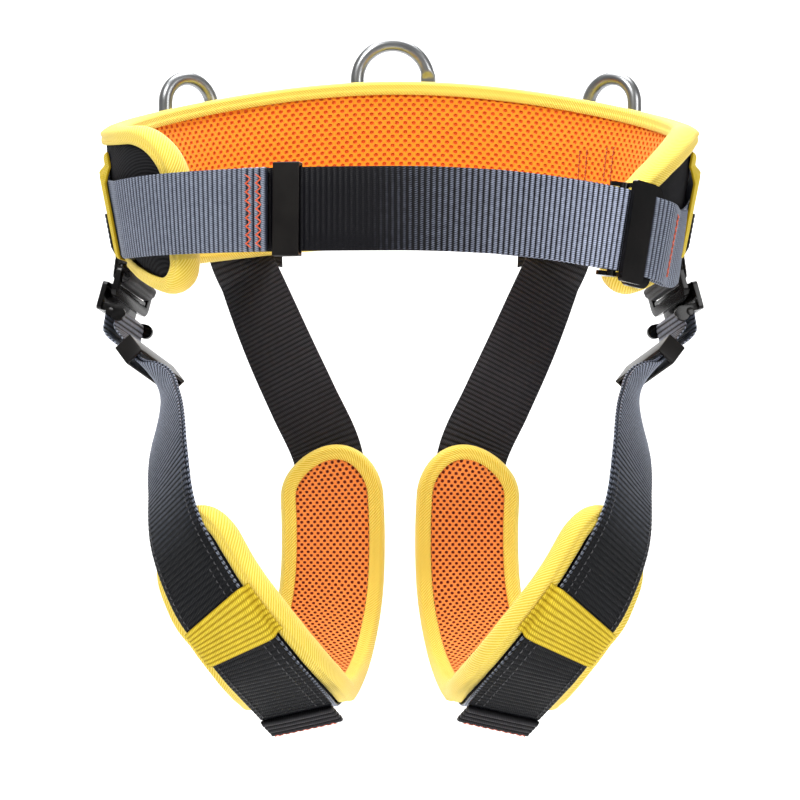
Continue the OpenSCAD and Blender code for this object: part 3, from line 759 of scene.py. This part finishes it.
def zigzag(run, along, half, swing, pitch, out_, finish, mirrored=False, thread=0.7):
    """A bar tack: thread that runs to and fro across the webbing."""
    k = int(2 * half / pitch)
    points, turns = [], []
    for i in range(k):
        points.append((along, -half + (i + 0.5) * pitch, out_))
        turns.append(math.atan2(pitch, (2 * swing) * (1 if i % 2 else -1)))
    length = math.hypot(pitch, 2 * swing) * 1.12
    me = repeated(points, STITCH_TILE, (length, thread, thread), finish, np.array(turns))
    return lay(me, run.place, mirrored)


def folded_end(run, finish, mirrored=False):
    """The folded, sewn end of a strap: thicker webbing along the whole run."""
    count = int(run.length / RIB)
    return lay(ribbed(RIB_TILE, count, run.length, WEB_W, HEM_T * 0.94, finish), run.place, mirrored)


def bevelled(node, name, width, finish, body, segments):
    """A hard CAD piece with its edges rounded, so that they catch the light."""
    bm = bmesh.new()
    bm.from_mesh(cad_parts[node].data)
    bmesh.ops.remove_doubles(bm, verts=bm.verts, dist=1e-6)
    bmesh.ops.dissolve_limit(bm, angle_limit=math.radians(1), verts=bm.verts, edges=bm.edges)
    edges = [e for e in bm.edges if len(e.link_faces) == 2 and e.calc_face_angle() > math.radians(30)]
    bmesh.ops.bevel(bm, geom=edges, offset=width / 1000, segments=segments, profile=0.6,
                    affect="EDGES", clamp_overlap=True)
    me = bpy.data.meshes.new(name)
    bm.to_mesh(me)
    bm.free()
    me.materials.clear()
    me.materials.append(finish)
    finish_mesh(me, 35)
    return piece(name, me, body, node)


def outwards(me):
    """Turns every face of a closed mesh outwards."""
    bm = bmesh.new()
    bm.from_mesh(me)
    bmesh.ops.recalc_face_normals(bm, faces=bm.faces)
    bm.to_mesh(me)
    bm.free()
    return me


def swept(stations, sections):
    """A skin through equal rings of points that closes on itself; sections is (k, m, 3)."""
    k, m = sections.shape[:2]
    faces = [[i * m + j, i * m + (j + 1) % m, ((i + 1) % k) * m + (j + 1) % m, ((i + 1) % k) * m + j]
             for i in range(k) for j in range(m)]
    me = plain_mesh("swept", sections.reshape(-1, 3) / 1000, faces)
    uv = np.zeros((k * m, 3))
    uv[:, 0] = np.repeat(stations, m)
    around = np.cumsum(np.linalg.norm(np.diff(sections[0], axis=0, prepend=sections[0][:1]), axis=1))
    uv[:, 1] = np.tile(around, k)
    give_uv(me, uv)
    return outwards(me)


def bound_edge(pts, ns, t):
    """Rolled binding round a closed edge: a flat lip on each face and a full round nose."""
    h = t / 2 + 0.25
    side = [(h + .3, -LIP_D), (h + .95, -LIP_D + .5), (h + 1.1, -LIP_D * .6), (h + .95, -LIP_D * .3),
            (h + .35, -.5), (h + .95, .9), (h + .7, 2.3), (h * .8, 3.6), (h * .45, 4.6)]
    under_lip = [(h + .05, -LIP_D + .5), (h * .8, -1.2)]
    channel = np.array([(-x, y) for x, y in side] + [(0, ROLL)] + side[::-1] + under_lip
                       + [(-x, y) for x, y in under_lip[::-1]])
    d = unit(np.roll(pts, -1, 0) - np.roll(pts, 1, 0))
    o = unit(np.cross(d, ns))
    s = lengths(pts)
    ripple = 1 + 0.012 * np.sin(s / 3.1) + 0.01 * np.sin(s / 7.7 + 1)
    rings = (pts[:, None] + ns[:, None] * channel[None, :, 0:1] * ripple[:, None, None]
             + o[:, None] * channel[None, :, 1:2])
    me = swept(s, rings)
    me.materials.append(YELLOW_TWILL)
    finish_mesh(me, 60)
    return me, s, o


# ---- padded pieces: a thick sheet that is blown up a little, then held to its outline ----
def thick_sheet(outer, inner):
    """A closed sheet between two equal grids of points, (k, m, 3) in mm."""
    k, m = outer.shape[:2]
    n = k * m
    at = lambda i, j, side: side * n + i * m + j
    faces = []
    for i in range(k - 1):
        for j in range(m - 1):
            faces.append([at(i, j, 0), at(i + 1, j, 0), at(i + 1, j + 1, 0), at(i, j + 1, 0)])
            faces.append([at(i, j, 1), at(i, j + 1, 1), at(i + 1, j + 1, 1), at(i + 1, j, 1)])
    rim = ([(i, 0) for i in range(k)] + [(k - 1, j) for j in range(1, m)]
           + [(i, m - 1) for i in range(k - 2, -1, -1)] + [(0, j) for j in range(m - 2, 0, -1)])
    for a, b in zip(rim, rim[1:] + rim[:1]):
        faces.append([at(*a, 0), at(*b, 0), at(*b, 1), at(*a, 1)])
    verts = np.concatenate([outer.reshape(-1, 3), inner.reshape(-1, 3)]) / 1000
    return outwards(plain_mesh("pad", verts, faces))


def puffed(me, cap, share):
    """Cloth under a little pressure; share(points in mm) says how much of cap each point may move."""
    ob = linked("pad", me)
    remesh = ob.modifiers.new("remesh", "REMESH")
    remesh.mode, remesh.voxel_size = "VOXEL", 0.004
    base = evaluated(ob)
    ob.modifiers.clear()
    ob.data = base
    start = read_co(base)
    cloth = ob.modifiers.new("cloth", "CLOTH")
    cloth.settings.use_pressure = True
    cloth.settings.uniform_pressure_force = 4
    cloth.settings.effector_weights.gravity = 0
    cloth.settings.quality = 4
    cloth.point_cache.frame_start, cloth.point_cache.frame_end = 1, 20
    for f in range(1, 21):
        bpy.context.scene.frame_set(f)
    moved = read_co(evaluated(ob))
    ob.modifiers.clear()
    bpy.context.scene.frame_set(1)
    step = (moved - start) * 1000
    far = np.linalg.norm(step, axis=1, keepdims=True)
    allowed = cap * share(start * 1000)[:, None]
    step = step * np.minimum(1, allowed / np.maximum(far, 1e-6))
    base.vertices.foreach_set("co", (start + step / 1000).ravel())
    base.update()
    sub = ob.modifiers.new("soft", "SUBSURF")
    sub.levels = sub.render_levels = 1
    made = evaluated(ob)
    bpy.data.objects.remove(ob)
    made.materials.clear()
    made.materials.append(BLACK_TWILL)
    made.polygons.foreach_set("use_smooth", np.ones(len(made.polygons), bool))
    return made


# ---- the padded waist belt ----
steps = np.arange(241) / 240
edge_t = mix(-LEFT_END, RIGHT_END, (1 - np.cos(np.pi * steps)) / 2)
edge_pts = np.concatenate([on_belt(edge_t, PAD_T / 2, pad_top(edge_t)),
                           on_belt(edge_t[::-1], PAD_T / 2, pad_low(edge_t[::-1]))])
edge_ns = np.concatenate([sheet_out(edge_t, pad_top(edge_t)), sheet_out(edge_t[::-1], pad_low(edge_t[::-1]))])
belt_roll, edge_s, edge_o = bound_edge(edge_pts, edge_ns, PAD_T)


def edge_place(face):
    """Flat (along the edge, inwards from it, out of the lip) on one face of the belt binding."""
    def place(flat):
        pts, ns, o = (between(flat[:, 0], edge_s, rows) for rows in (edge_pts, edge_ns, edge_o))
        return pts - unit(o) * flat[:, 1:2] + unit(ns) * face * (PAD_T / 2 + 1.25 + flat[:, 2:3])
    return place


lip_rows = [(2, 2.6, edge_s[-1] - 2, 2.6, -0.1, 3.4)]
piece("belt_edge_binding", [belt_roll] + [stitches(edge_place(f), lip_rows, YELLOW_THREAD, 2.5, 0.5)
                                          for f in (-1, 1)], "belt", "belt_binding")

EDGE_IN, END_IN, LINING_T = 2.2, 1.6, 2.8   # how far pads stay inside their edges and lining
BELT_SWELL, LEG_SWELL = 3.0, 2.0            # the most that a pad swells
pad_t = np.linspace(-LEFT_END + END_IN, RIGHT_END - END_IN, 150)
rise = np.linspace(0, 1, 15)


def belt_grid(off):
    low, top = pad_low(pad_t) + EDGE_IN, pad_top(pad_t) - EDGE_IN
    z = low[:, None] + (top - low)[:, None] * rise[None]
    return on_belt(pad_t[:, None], off, z)


def belt_share(co):
    """How far a point of the belt pad may swell: nothing at the edge or on the lining's side."""
    t = np.degrees(np.arctan2(co[:, 0] / RING_A, co[:, 1] / RING_B))
    edge = np.minimum(co[:, 2] - pad_low(t), pad_top(t) - co[:, 2])
    mid = on_belt(t, PAD_T / 2, co[:, 2])
    outward = np.sum((co - mid) * sheet_out(t, co[:, 2]), -1) > 0
    return smooth(np.minimum(edge, to_end(t)) / 22) * np.where(outward, 1.0, 0.15)


belt_sheet = thick_sheet(belt_grid(PAD_T - 0.6), belt_grid(LINING_T))
belt_pad = piece("belt_pad", puffed(belt_sheet, BELT_SWELL, belt_share), "belt",
                 ("belt_foam", "belt_cover"))


def belt_inside(flat):
    """Flat (round the belt, up from mid height, towards the wearer) on the belt's inner face."""
    t = flat[:, 0] / MM_PER_DEG
    low, top = pad_low(t), pad_top(t)
    z = (low + top) / 2 + flat[:, 1]
    crown = 1.6 * smooth(np.minimum(z - low, top - z) / 30)
    return on_belt(t, 0.9 - crown - flat[:, 2], z)


def cells(u0, u1, v0, v1, pu, pv, inside):
    """Cell middles in shifted rows, where inside(u, v) holds."""
    made = []
    for j, v in enumerate(np.arange(v0, v1, pv)):
        u = np.arange(u0, u1, pu) + (pu / 2 if j % 2 else 0)
        made.append(np.stack([u, np.full(len(u), v), np.zeros(len(u))], -1))
    made = np.concatenate(made)
    return made[inside(made[:, 0], made[:, 1])]


def on_lining(u, v):
    t = u / MM_PER_DEG
    t_in = np.clip(t, -LEFT_END, RIGHT_END)
    half = (pad_top(t_in) - pad_low(t_in)) / 2
    return (np.abs(v) < half - 1.8) & (to_end(t) > 1.8)


MESH_PITCH = (5.0, 3.0)
belt_cells = cells(-LEFT_END * MM_PER_DEG, RIGHT_END * MM_PER_DEG, -60, 60, *MESH_PITCH, on_lining)
belt_lining = lay(repeated(belt_cells, CELL_TILE, (*MESH_PITCH, 1), BELT_MESH), belt_inside, sharp=50)
TACKS, TACK_LOW, TACK_TOP = (46.0, 48.2, 54.6, 57.0), 39.0, 61.0
tack_rows = []
for t in TACKS:
    mid_z = (pad_low(t) + pad_top(t)) / 2
    tack_rows.append((t * MM_PER_DEG, TACK_LOW - mid_z, t * MM_PER_DEG, TACK_TOP - mid_z, 0.35, 2.2))
piece("belt_mesh_lining", [belt_lining, stitches(belt_inside, tack_rows, RED_THREAD, 2.0, 0.7)],
      "belt", "belt_lining")


# ---- waist webbing: the belt's own webbing, and the front strap ----
def waist_layer(t, lift, face=1):
    t = np.asarray(t, float)
    p, w, n = web_frame(t, WEB_OFF)
    return p + n * np.reshape(lift, (-1, 1)), w, n * face


def under(t):
    return (WEB_T + 2 * GAP) * smooth((-t - 104) / 10)


hem_deg = HEM_L / 2.9
back_t = np.arange(RETURN_END, TURN_AT + 0.1, 1.0)
main_t = np.linspace(TURN_AT, -HEM_AT, 420)
rise_back = smooth((back_t - 112) / 13)
rise_main = smooth((main_t - 112) / 13)
belt_run = Run(
    waist_layer(back_t, mix(WEB_T + GAP, BAR_Z + LOOP_R + 2, rise_back) + WEB_T / 2),
    round_bar(waist_rail, waist_w, waist_n, -waist_u, LOOP_R + WEB_T / 2),
    waist_layer(main_t, under(main_t) + mix(0, BAR_Z - LOOP_R - WEB_T, rise_main) + WEB_T / 2, -1))
hem_start = belt_run.length - HEM_L
hem_run = Run(waist_layer(np.linspace(-HEM_AT + hem_deg, -HEM_AT, 12), under(-HEM_AT) + HEM_T / 2, -1))
tack_at = belt_run.near(waist_layer([118.0], [9.0])[0][0])
front_face = -(HEM_T / 2 + 0.1)
belt_webbing = [webbing(belt_run, BELT_WEB, hem_start - 1), folded_end(hem_run, BELT_WEB)]
for along in (hem_run.length - 3.8, hem_run.length - 9.8):
    belt_webbing.append(zigzag(hem_run, along, 20.5, 1.5, 2.3, front_face, ORANGE_THREAD, thread=0.85))
for along in (tack_at - 2, tack_at + 1.6):
    belt_webbing.append(zigzag(belt_run, along, 18, 1.4, 2.0, WEB_T / 2 + 0.1, ORANGE_THREAD))
piece("belt_webbing_band", belt_webbing, "belt", "belt_webbing")

DOUBLE_FROM, DOUBLE_TO, STRAP_REST = BUCKLE_AT + 8, BUCKLE_AT + 29, 0.2 + WEB_T / 2
bar_t = np.arange(DOUBLE_FROM, DOUBLE_TO, 0.75)
far_t = np.arange(DOUBLE_TO, STRAP_END, 0.75)
lift_bar = WEB_T + GAP + 3.6 * (1 - smooth((bar_t - BUCKLE_AT - 5) / 15))
drop = (WEB_T + GAP) * (1 - smooth((far_t - DOUBLE_TO) / 5))
front_run = Run(waist_layer(bar_t[::-1], np.full(len(bar_t), STRAP_REST), -1),
                round_bar(waist_bar, waist_w, -waist_n, waist_u, STRAP_R),
                waist_layer(bar_t, STRAP_REST + lift_bar), waist_layer(far_t, STRAP_REST + drop))
piece("front_strap_band", webbing(front_run, FRONT_WEB), "belt", "front_strap")


# ---- buckles, bars and keepers ----
BUCKLES = [("waist", "", "belt", "waist_plate")] + [("hip", f"_{s}", f"leg_loop_{s}", f"hip_plate_{s}")
                                                    for s in ("left", "right")]
for kind, side, frame_body, plate_body in BUCKLES:
    for part, body, width, segments in (("frame", frame_body, 0.7, 3), ("plate", plate_body, 0.6, 3),
                                        ("bar", plate_body, 0.4, 2)):
        bevelled(f"{kind}_buckle_{part}{side}", f"{kind}_{part}_steel{side}", width, BLACK_STEEL, body,
                 segments)
for name, keeper, width in (("front_keeper", "front_strap_keeper", 0.7),
                            ("leg_keeper_left", "leg_strap_keeper_left", 0.8),
                            ("leg_keeper_right", "leg_strap_keeper_right", 0.8)):
    bevelled(name, keeper, width, PLASTIC, name, 3)


# ---- rings and their loops ----
def ring_place(t, rod, z):
    n = unit([math.sin(math.radians(t)) / RING_A, math.cos(math.radians(t)) / RING_B, 0])
    o = on_belt(t, LOOP_OFF + WEB_T + GAP + rod / 2, z)
    x = np.cross(n, UP)
    return o, x, UP, -n


def ring_mesh(t, rod, z, w, h, flats):
    """A D-ring: bar, two legs and a round top, with a flat forged on one leg if asked."""
    o, x, y, out_ = ring_place(t, rod, z)
    r, c = (w - rod) / 2, 3.2
    path = [(r * math.cos(a), h - r + r * math.sin(a)) for a in np.linspace(0, math.pi, 41)]
    path += [(-r, v) for v in np.linspace(h - r, c, 10)[1:]]
    path += [(-r + c - c * math.cos(a), c - c * math.sin(a)) for a in np.linspace(0, math.pi / 2, 7)[1:]]
    path += [(u, 0) for u in np.linspace(-r + c, r - c, 9)[1:-1]]
    path += [(r - c + c * math.sin(a), c - c * math.cos(a)) for a in np.linspace(0, math.pi / 2, 7)]
    path += [(r, v) for v in np.linspace(c, h - r, 10)[1:-1]]
    path = np.array(path)
    d = unit(np.roll(path, -1, 0) - np.roll(path, 1, 0))
    side = np.stack([d[:, 1], -d[:, 0]], -1)
    turn = np.radians(np.arange(0, 360, 15))
    rings = []
    for p, s in zip(path, side):
        flat = smooth((h * 0.66 - p[1]) / 5) * smooth((p[1] - 2) / 4) if flats and p[0] > 0 else 0
        a, b = np.cos(turn), np.sin(turn)
        power = 1 - 0.3 * flat
        a, b = np.sign(a) * np.abs(a) ** power, np.sign(b) * np.abs(b) ** power
        a = a * rod / 2 * (1 + 0.12 * flat)
        b = np.minimum(b * rod / 2, rod / 2 * (1 - 0.55 * flat))
        rings.append(o + x * (p[0] + s[0] * a)[:, None] + y * (p[1] + s[1] * a)[:, None]
                     + out_ * b[:, None])
    me = swept(np.arange(len(path)) * 2.0, np.array(rings))
    me.materials.append(STEEL)
    finish_mesh(me, 50)
    return me


def loop_meshes(t, rod, z, width, drop):
    """Webbing folded round a ring's bar and sewn down below it with a box of stitches."""
    o, x, y, out_ = ring_place(t, rod, z)
    r = rod / 2 + GAP + WEB_T / 2
    leg = np.linspace(-drop, -1, 30)
    back, front = ((o + y * leg[:, None] + out_ * f * r, same(x, 30), same(out_ * f, 30)) for f in (1, -1))
    # below the bar the two layers come together against the belt
    pull = smooth((-leg - 10) / 12)[:, None] * (r - WEB_T / 2 - 0.1)
    front = (front[0] + out_ * pull * 0.9, front[1], front[2])
    back = (back[0] - out_ * pull * 0.05, back[1], back[2])
    top = round_bar(o, x, out_, y, r)
    run = Run(back, top, tuple(a[::-1] for a in front))
    end = run.length
    half, a0, a1 = width / 2 - 2.5, end - drop + 16, end - 3
    box_and_cross = [(a0, -half, a1, -half), (a0, half, a1, half), (a0, -half, a0, half),
                     (a1, -half, a1, half), (a0, -half, a1, half), (a0, half, a1, -half)]
    rows = [(*row, WEB_T / 2 + 0.1, 2.6) for row in box_and_cross]
    return [webbing(run, BLACK_WEB, width=width), stitches(run, rows, YELLOW_THREAD, 2.1, 0.55)]


RINGS = [("back_ring", "back_ring_loop", -1.5, 9.0, BACK_TOP - 19, 57.0, 52.0, 56.0, True)]
RINGS += [(f"side_ring_{s}", f"side_ring_loop_{s}", 47.0 * f, 9.0, 64.0, 44.0, 46.0, 44.0, False)
          for s, f in (("left", -1), ("right", 1))]
for ring, loop, t, rod, z, w, h, drop, flats in RINGS:
    piece(f"{ring}_rod", ring_mesh(t, rod, z, w, h, flats), ring, ring)
    piece(f"{loop}_web", loop_meshes(t, rod, z, w - 2 * rod - 4, drop), "belt", loop)


# ---- leg loops, built on the left and mirrored ----
def leg_inside(flat):
    """Flat (along, across, towards the thigh) on the pad's inner face, crowned in the middle."""
    p, d, w, n = leg_frame(flat[:, 0])
    half = np.maximum(pad_half(flat[:, 0]), 0.1)
    crown = 1.4 * smooth((half - np.abs(flat[:, 1])) / 18)
    return p + w * flat[:, 1:2] - n * (PAD_INNER - 0.9 + crown + flat[:, 2])[:, None]


def round_ended(a, b, r, start_angle, end_count, mid_count):
    """Lengths from a to b, closer together over round ends of radius r."""
    end = r * (1 - np.cos(np.radians(np.linspace(start_angle, 90, end_count))))
    return np.concatenate([a + end, np.linspace(a + r, b - r, mid_count)[1:-1], (b - end)[::-1]])


pad_s = round_ended(PAD_FRONT_S, PAD_BACK_S, PAD_R, 2, 16, 120)
rim_s = np.concatenate([pad_s, pad_s[::-1]])
rim_side = np.concatenate([-np.ones(len(pad_s)), np.ones(len(pad_s))])
rim_p, _, rim_w, rim_n = leg_frame(rim_s)
rim_pts = rim_p + rim_w * (rim_side * pad_half(rim_s))[:, None] - rim_n * PAD_INNER / 2

grid_s = round_ended(PAD_FRONT_S + EDGE_IN, PAD_BACK_S - EDGE_IN, PAD_R - 2, 3, 10, 60)
across = np.linspace(-1, 1, 11)
grid_p, _, grid_w, grid_n = leg_frame(grid_s)
grid_half = pad_half(grid_s, 2.0)


def leg_grid(n):
    return (grid_p[:, None] + grid_w[:, None] * (across[None] * grid_half[:, None])[..., None]
            + grid_n[:, None] * n)


def leg_share(co):
    pick = np.argmin(np.linalg.norm(co[:, None] - (grid_p - grid_n * PAD_INNER / 2)[None], axis=-1), 1)
    rel = co - (grid_p - grid_n * PAD_INNER / 2)[pick]
    edge = grid_half[pick] - np.abs(np.sum(rel * grid_w[pick], -1))
    outward = np.sum(rel * grid_n[pick], -1) > 0
    under_strap = np.abs(np.sum(rel * grid_w[pick], -1)) < WEB_W / 2 + 2
    return smooth(edge / 12) * np.where(outward & under_strap, 0.15, np.where(outward, 0.5, 0.15))


leg_pad_mesh = puffed(thick_sheet(leg_grid(-0.5), leg_grid(-PAD_INNER + LINING_T)), LEG_SWELL, leg_share)


def on_leg_pad(u, v):
    inset = np.clip(v, PAD_FRONT_S + END_IN, PAD_BACK_S - END_IN) == v
    return inset & (np.abs(u) < pad_half(np.clip(v, PAD_FRONT_S, PAD_BACK_S), END_IN))


LEG_PITCH = (4.1, 2.5)
leg_cells = cells(-30, 30, PAD_FRONT_S, PAD_BACK_S, *LEG_PITCH, on_leg_pad)
leg_cells = leg_cells[:, [1, 0, 2]]

BAR_S = 7.5                                  # where the strap leaves the hip buckle's bar
base_s = np.linspace(JOIN_S, BAR_S, 300)
tail_s = np.linspace(BAR_S, LEAVE_S, 200)
leave_p, leave_d, leave_w, leave_n = leg_frame(LEAVE_S)
leave_run = unit(leave_d - leave_n * 0.04)
rest_d = np.linspace(1, TAIL_REST - HEM_L, 20)[:, None]
rest_p = leave_p + leave_run * rest_d + leave_n * (tail_n(LEAVE_S) + WEB_T / 2)
strap_run = Run(leg_part(base_s, base_n(base_s) + WEB_T / 2, -1),
                round_bar(hip_bar, -hip_w, -hip_n, hip_u, STRAP_R),
                leg_part(tail_s, tail_n(tail_s) + WEB_T / 2),
                (rest_p, same(leave_w, 20), same(leave_n, 20)))
nose_d = np.linspace(TAIL_REST - HEM_L, TAIL_REST, 8)[:, None]
nose_p = leave_p + leave_run * nose_d + leave_n * (tail_n(LEAVE_S) + HEM_T / 2)
nose_run = Run((nose_p, same(leave_w, 8), same(leave_n, 8)))
tail_start = strap_run.near(leg_part([PAD_FRONT_S - 20.0], [tail_n(PAD_FRONT_S) + 1.0])[0][0])

back_n = STRAP_AIR + WEB_T + GAP
back_s = np.linspace(JOIN_S - 60, LEG_TOTAL - 6, 160)
back_lift = back_n * (1 - smooth((back_s - PAD_BACK_S) / 60)) + 0.3 + WEB_T / 2
back_part = leg_part(back_s, back_lift)
climb = np.linspace(0, 1, 12)[1:, None]
OVER_AT, OVER_Z = -37.0, 14.0                # where the back strap ends, over its anchor
over_w = unit(on_belt(OVER_AT + 1, 0, OVER_Z) - on_belt(OVER_AT - 1, 0, OVER_Z))
over_n = sheet_out(OVER_AT, OVER_Z)
back_run = Run(back_part, (mix(back_part[0][-1], on_belt(OVER_AT, LOOP_OFF + 1.2, OVER_Z), climb),
                           unit(mix(back_part[1][-1], over_w, climb)),
                           unit(mix(back_part[2][-1], over_n, climb))))

tab_n = sheet_out(HIP_AT, 2.0)
tab_side = unit([tab_n[1], -tab_n[0], 0])
tab_z = np.linspace(12, -8, 10)
tab_rise = LOOP_R + 2 + WEB_T / 2
tab_top = (on_belt(HIP_AT, LOOP_OFF, tab_z) + tab_n * WEB_T / 2, same(tab_side, 10), same(tab_n, 10))
mid_drop = np.linspace(0, 1, 8)[1:-1, None]
tab_low_p = hip_rail + hip_u * 10 + hip_n * (tab_rise + 1.5)
tab_mid = (mix(tab_top[0][-1], tab_low_p, mid_drop), unit(mix(tab_side, hip_w, mid_drop)),
           unit(mix(tab_n, hip_n, mid_drop)))
tab_run = Run(tab_top, tab_mid, (tab_low_p[None], hip_w[None], hip_n[None]),
              round_bar(hip_rail, hip_w, hip_n, -hip_u, tab_rise),
              ((hip_rail + hip_u * 2 - hip_n * (tab_rise - 1))[None], hip_w[None], -hip_n[None]))
anchor_n = sheet_out(ANCHOR_AT, 3.0)
anchor_d = unit([anchor_n[1], -anchor_n[0], -0.18])
anchor_z = np.linspace(-8, 14, 12)
anchor_p = on_belt(ANCHOR_AT, WEB_OFF, anchor_z) + anchor_n * WEB_T / 2
anchor_run = Run((anchor_p, same(anchor_d, 12), same(anchor_n, 12)))


def side_band(mirrored):
    """The upright yellow band: over the webbing it lies on it, above and below it on the cover."""
    span = BAND_SPAN * MM_PER_DEG

    def place(flat):
        t = BAND_AT + flat[:, 0] / MM_PER_DEG
        z = BAND_Z + flat[:, 1]
        clear = np.abs(z - web_z(t)) - WEB_W / 2
        off = LOOP_OFF + WEB_T / 2 + under(t) - 4.4 * smooth((clear - 0.5) / 6)
        return on_belt(t, off, z) + sheet_out(t, z) * flat[:, 2:3]
    return lay(ribbed(BRIDGE_TILE, 10, span, BAND_H, WEB_T, YELLOW_WEB, -span / 2), place, mirrored)


def sleeve_mesh(mirrored):
    """A yellow bridge of webbing over both strap layers, ribbed along the strap."""
    half, foot, top = WEB_W / 2 + GAP, LIP_T + 2 * GAP, tail_n(SLEEVE_S) + WEB_T + 2 * GAP
    mid = WEB_T / 2
    rise = [(half + mid + 3.5, foot - 0.3), (half + mid + 0.4, foot + 0.2), (half + mid, foot + 1.2),
            (half + mid, top - 0.4), (half - 0.6, top + mid)]
    flat_top = [(v, top + mid + 0.25) for v in np.linspace(-half + 2, half - 2, 24)]
    line = np.array([(-v, h) for v, h in rise] + flat_top + rise[::-1])
    d = unit(np.gradient(line, axis=0))
    n = np.stack([-d[:, 1], d[:, 0]], -1)
    s = lengths(line)

    def place(flat):
        at = flat[:, 1] + s[-1] / 2
        spot = between(at, s, line) + between(at, s, n) * flat[:, 2:3]
        p, _, w, nn = leg_frame(SLEEVE_S + flat[:, 0])
        return p + w * spot[:, 0:1] + nn * spot[:, 1:2]
    ribs = ribbed(BRIDGE_TILE, 10, SLEEVE_H, s[-1], 1.5, YELLOW_WEB, -SLEEVE_H / 2)
    return lay(ribs, place, mirrored)


for side in ("left", "right"):
    flip = side == "right"
    body = f"leg_loop_{side}"
    me = leg_pad_mesh.copy()
    if flip:
        me.vertices.foreach_set("co", (read_co(me) * MIRROR).ravel())
        me.flip_normals()
        me.update()
    pad = piece(f"leg_pad_{side}", me, body, (f"leg_foam_{side}", f"leg_cover_{side}"))
    cells_me = repeated(leg_cells, CELL_TILE, (*LEG_PITCH, 1), LEG_MESH, math.pi / 2)
    piece(f"leg_mesh_lining_{side}", lay(cells_me, leg_inside, flip, 50), body,
          f"leg_lining_{side}")
    pts, ns = ((rows * MIRROR)[::-1] if flip else rows for rows in (rim_pts, rim_n))
    roll = bound_edge(pts, ns, PAD_INNER)[0]
    piece(f"leg_edge_binding_{side}", roll, body, f"leg_binding_{side}")
    edge, tail_end = WEB_W / 2 - 3.2, strap_run.length - 2
    rows = [(from_s, c, tail_end, c, WEB_T / 2 + 0.05, 3.6)
            for from_s, c in ((tail_start, -edge), (tail_start, edge), (tail_start + 60, edge - 5))]
    band = [webbing(strap_run, LEG_WEB, mirrored=flip),
            folded_end(nose_run, BLACK_WEB, flip),
            stitches(strap_run, rows, BLACK_THREAD, 2.4, 0.6, flip),
            zigzag(nose_run, HEM_L - 2.5, 20.5, 1.2, 2.2, -HEM_T / 2, ORANGE_THREAD, flip),
            zigzag(nose_run, HEM_L - 1.2, 20.5, 0.8, 2.2, HEM_T / 2 - 0.4, ORANGE_THREAD, flip)]
    piece(f"leg_strap_band_{side}", band, body, f"leg_strap_{side}")
    piece(f"leg_sleeve_web_{side}", sleeve_mesh(flip), body, f"leg_sleeve_{side}")
    start, end = (tuple(leg_frame(LEG_TOTAL - before)[0] / 1000 * (MIRROR if flip else 1))
                  for before in (8, 70))
    piece(f"back_strap_band_{side}", webbing(back_run, BLACK_WEB, mirrored=flip), None,
          f"back_strap_{side}", ("belt", body, start, end))
    piece(f"hip_tab_web_{side}", webbing(tab_run, BLACK_WEB, mirrored=flip), "belt",
          f"hip_tab_{side}")
    piece(f"side_band_web_{side}", side_band(flip), "belt", f"side_band_{side}")
    piece(f"back_anchor_web_{side}", webbing(anchor_run, BLACK_WEB, mirrored=flip), "belt",
          f"back_anchor_{side}")


# ---- studio: pale floor that curves up behind, soft light, camera in front ----
def backdrop():
    low, radius, wide = -0.46, 0.6, 4.0
    line = [(-3.0, low), (0.9, low)]
    line += [(0.9 + radius * math.sin(a), low + radius - radius * math.cos(a))
             for a in np.linspace(0.1, math.pi / 2, 14)] + [(0.9 + radius, 3.0)]
    verts = [(x, y, z) for y, z in line for x in (-wide, wide)]
    faces = [[2 * i, 2 * i + 1, 2 * i + 3, 2 * i + 2] for i in range(len(line) - 1)]
    me = plain_mesh("studio_floor", verts, faces)
    f = Finish("PaleFloor", 0.9)
    cloud = f.group(VARIATION, f.place.outputs["Object"], Cloud=1.0, Speck=40.0)
    f.color(f.ramp(cloud.outputs["Cloud"], (0.3, (0.93, 0.93, 0.93)), (0.7, (0.95, 0.95, 0.95))))
    me.materials.append(f.mat)
    finish_mesh(me, 80)
    linked("studio_floor", me)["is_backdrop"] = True


def soft_light(name, at, aim, size, power):
    light = bpy.data.lights.new(name, "AREA")
    light.shape, light.size, light.energy = "SQUARE", size, power
    ob = linked(name, light)
    ob.location = at
    ob.rotation_euler = (Vector(at) - Vector(aim)).to_track_quat("Z", "Y").to_euler()


backdrop()
soft_light("key", (-0.9, -1.4, 1.5), (0, 0, -0.05), 0.8, 33)
soft_light("fill", (1.4, -1.4, 0.6), (0, 0, -0.05), 0.8, 13)
soft_light("top", (0, 0.1, 1.6), (0, 0, 0), 1.0, 9)
soft_light("rim", (0.2, 1.2, 0.9), (0, 0, 0), 0.8, 8)
soft_light("back_wall", (0, 0.35, 1.3), (0, 1.5, -0.2), 1.2, 26)
world = bpy.data.worlds.new("studio")
world.use_nodes = True
world.node_tree.nodes["Background"].inputs["Color"].default_value = (1, 1, 1, 1)
world.node_tree.nodes["Background"].inputs["Strength"].default_value = 0.36
bpy.context.scene.world = world
bpy.context.scene.view_settings.view_transform = "Standard"

camera = bpy.data.cameras.new("camera")
camera.lens, camera.sensor_width = 84.15, 36.0
camera_ob = linked("camera", camera)
camera_ob.location = (0, -1.125, -0.1)
camera_ob.rotation_euler = (math.pi / 2, 0, 0)
bpy.context.scene.camera = camera_ob

plain = lambda box: [[float(v) for v in corner_] for corner_ in box]
{"cad": plain(cad_box), "looks": plain(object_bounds())}
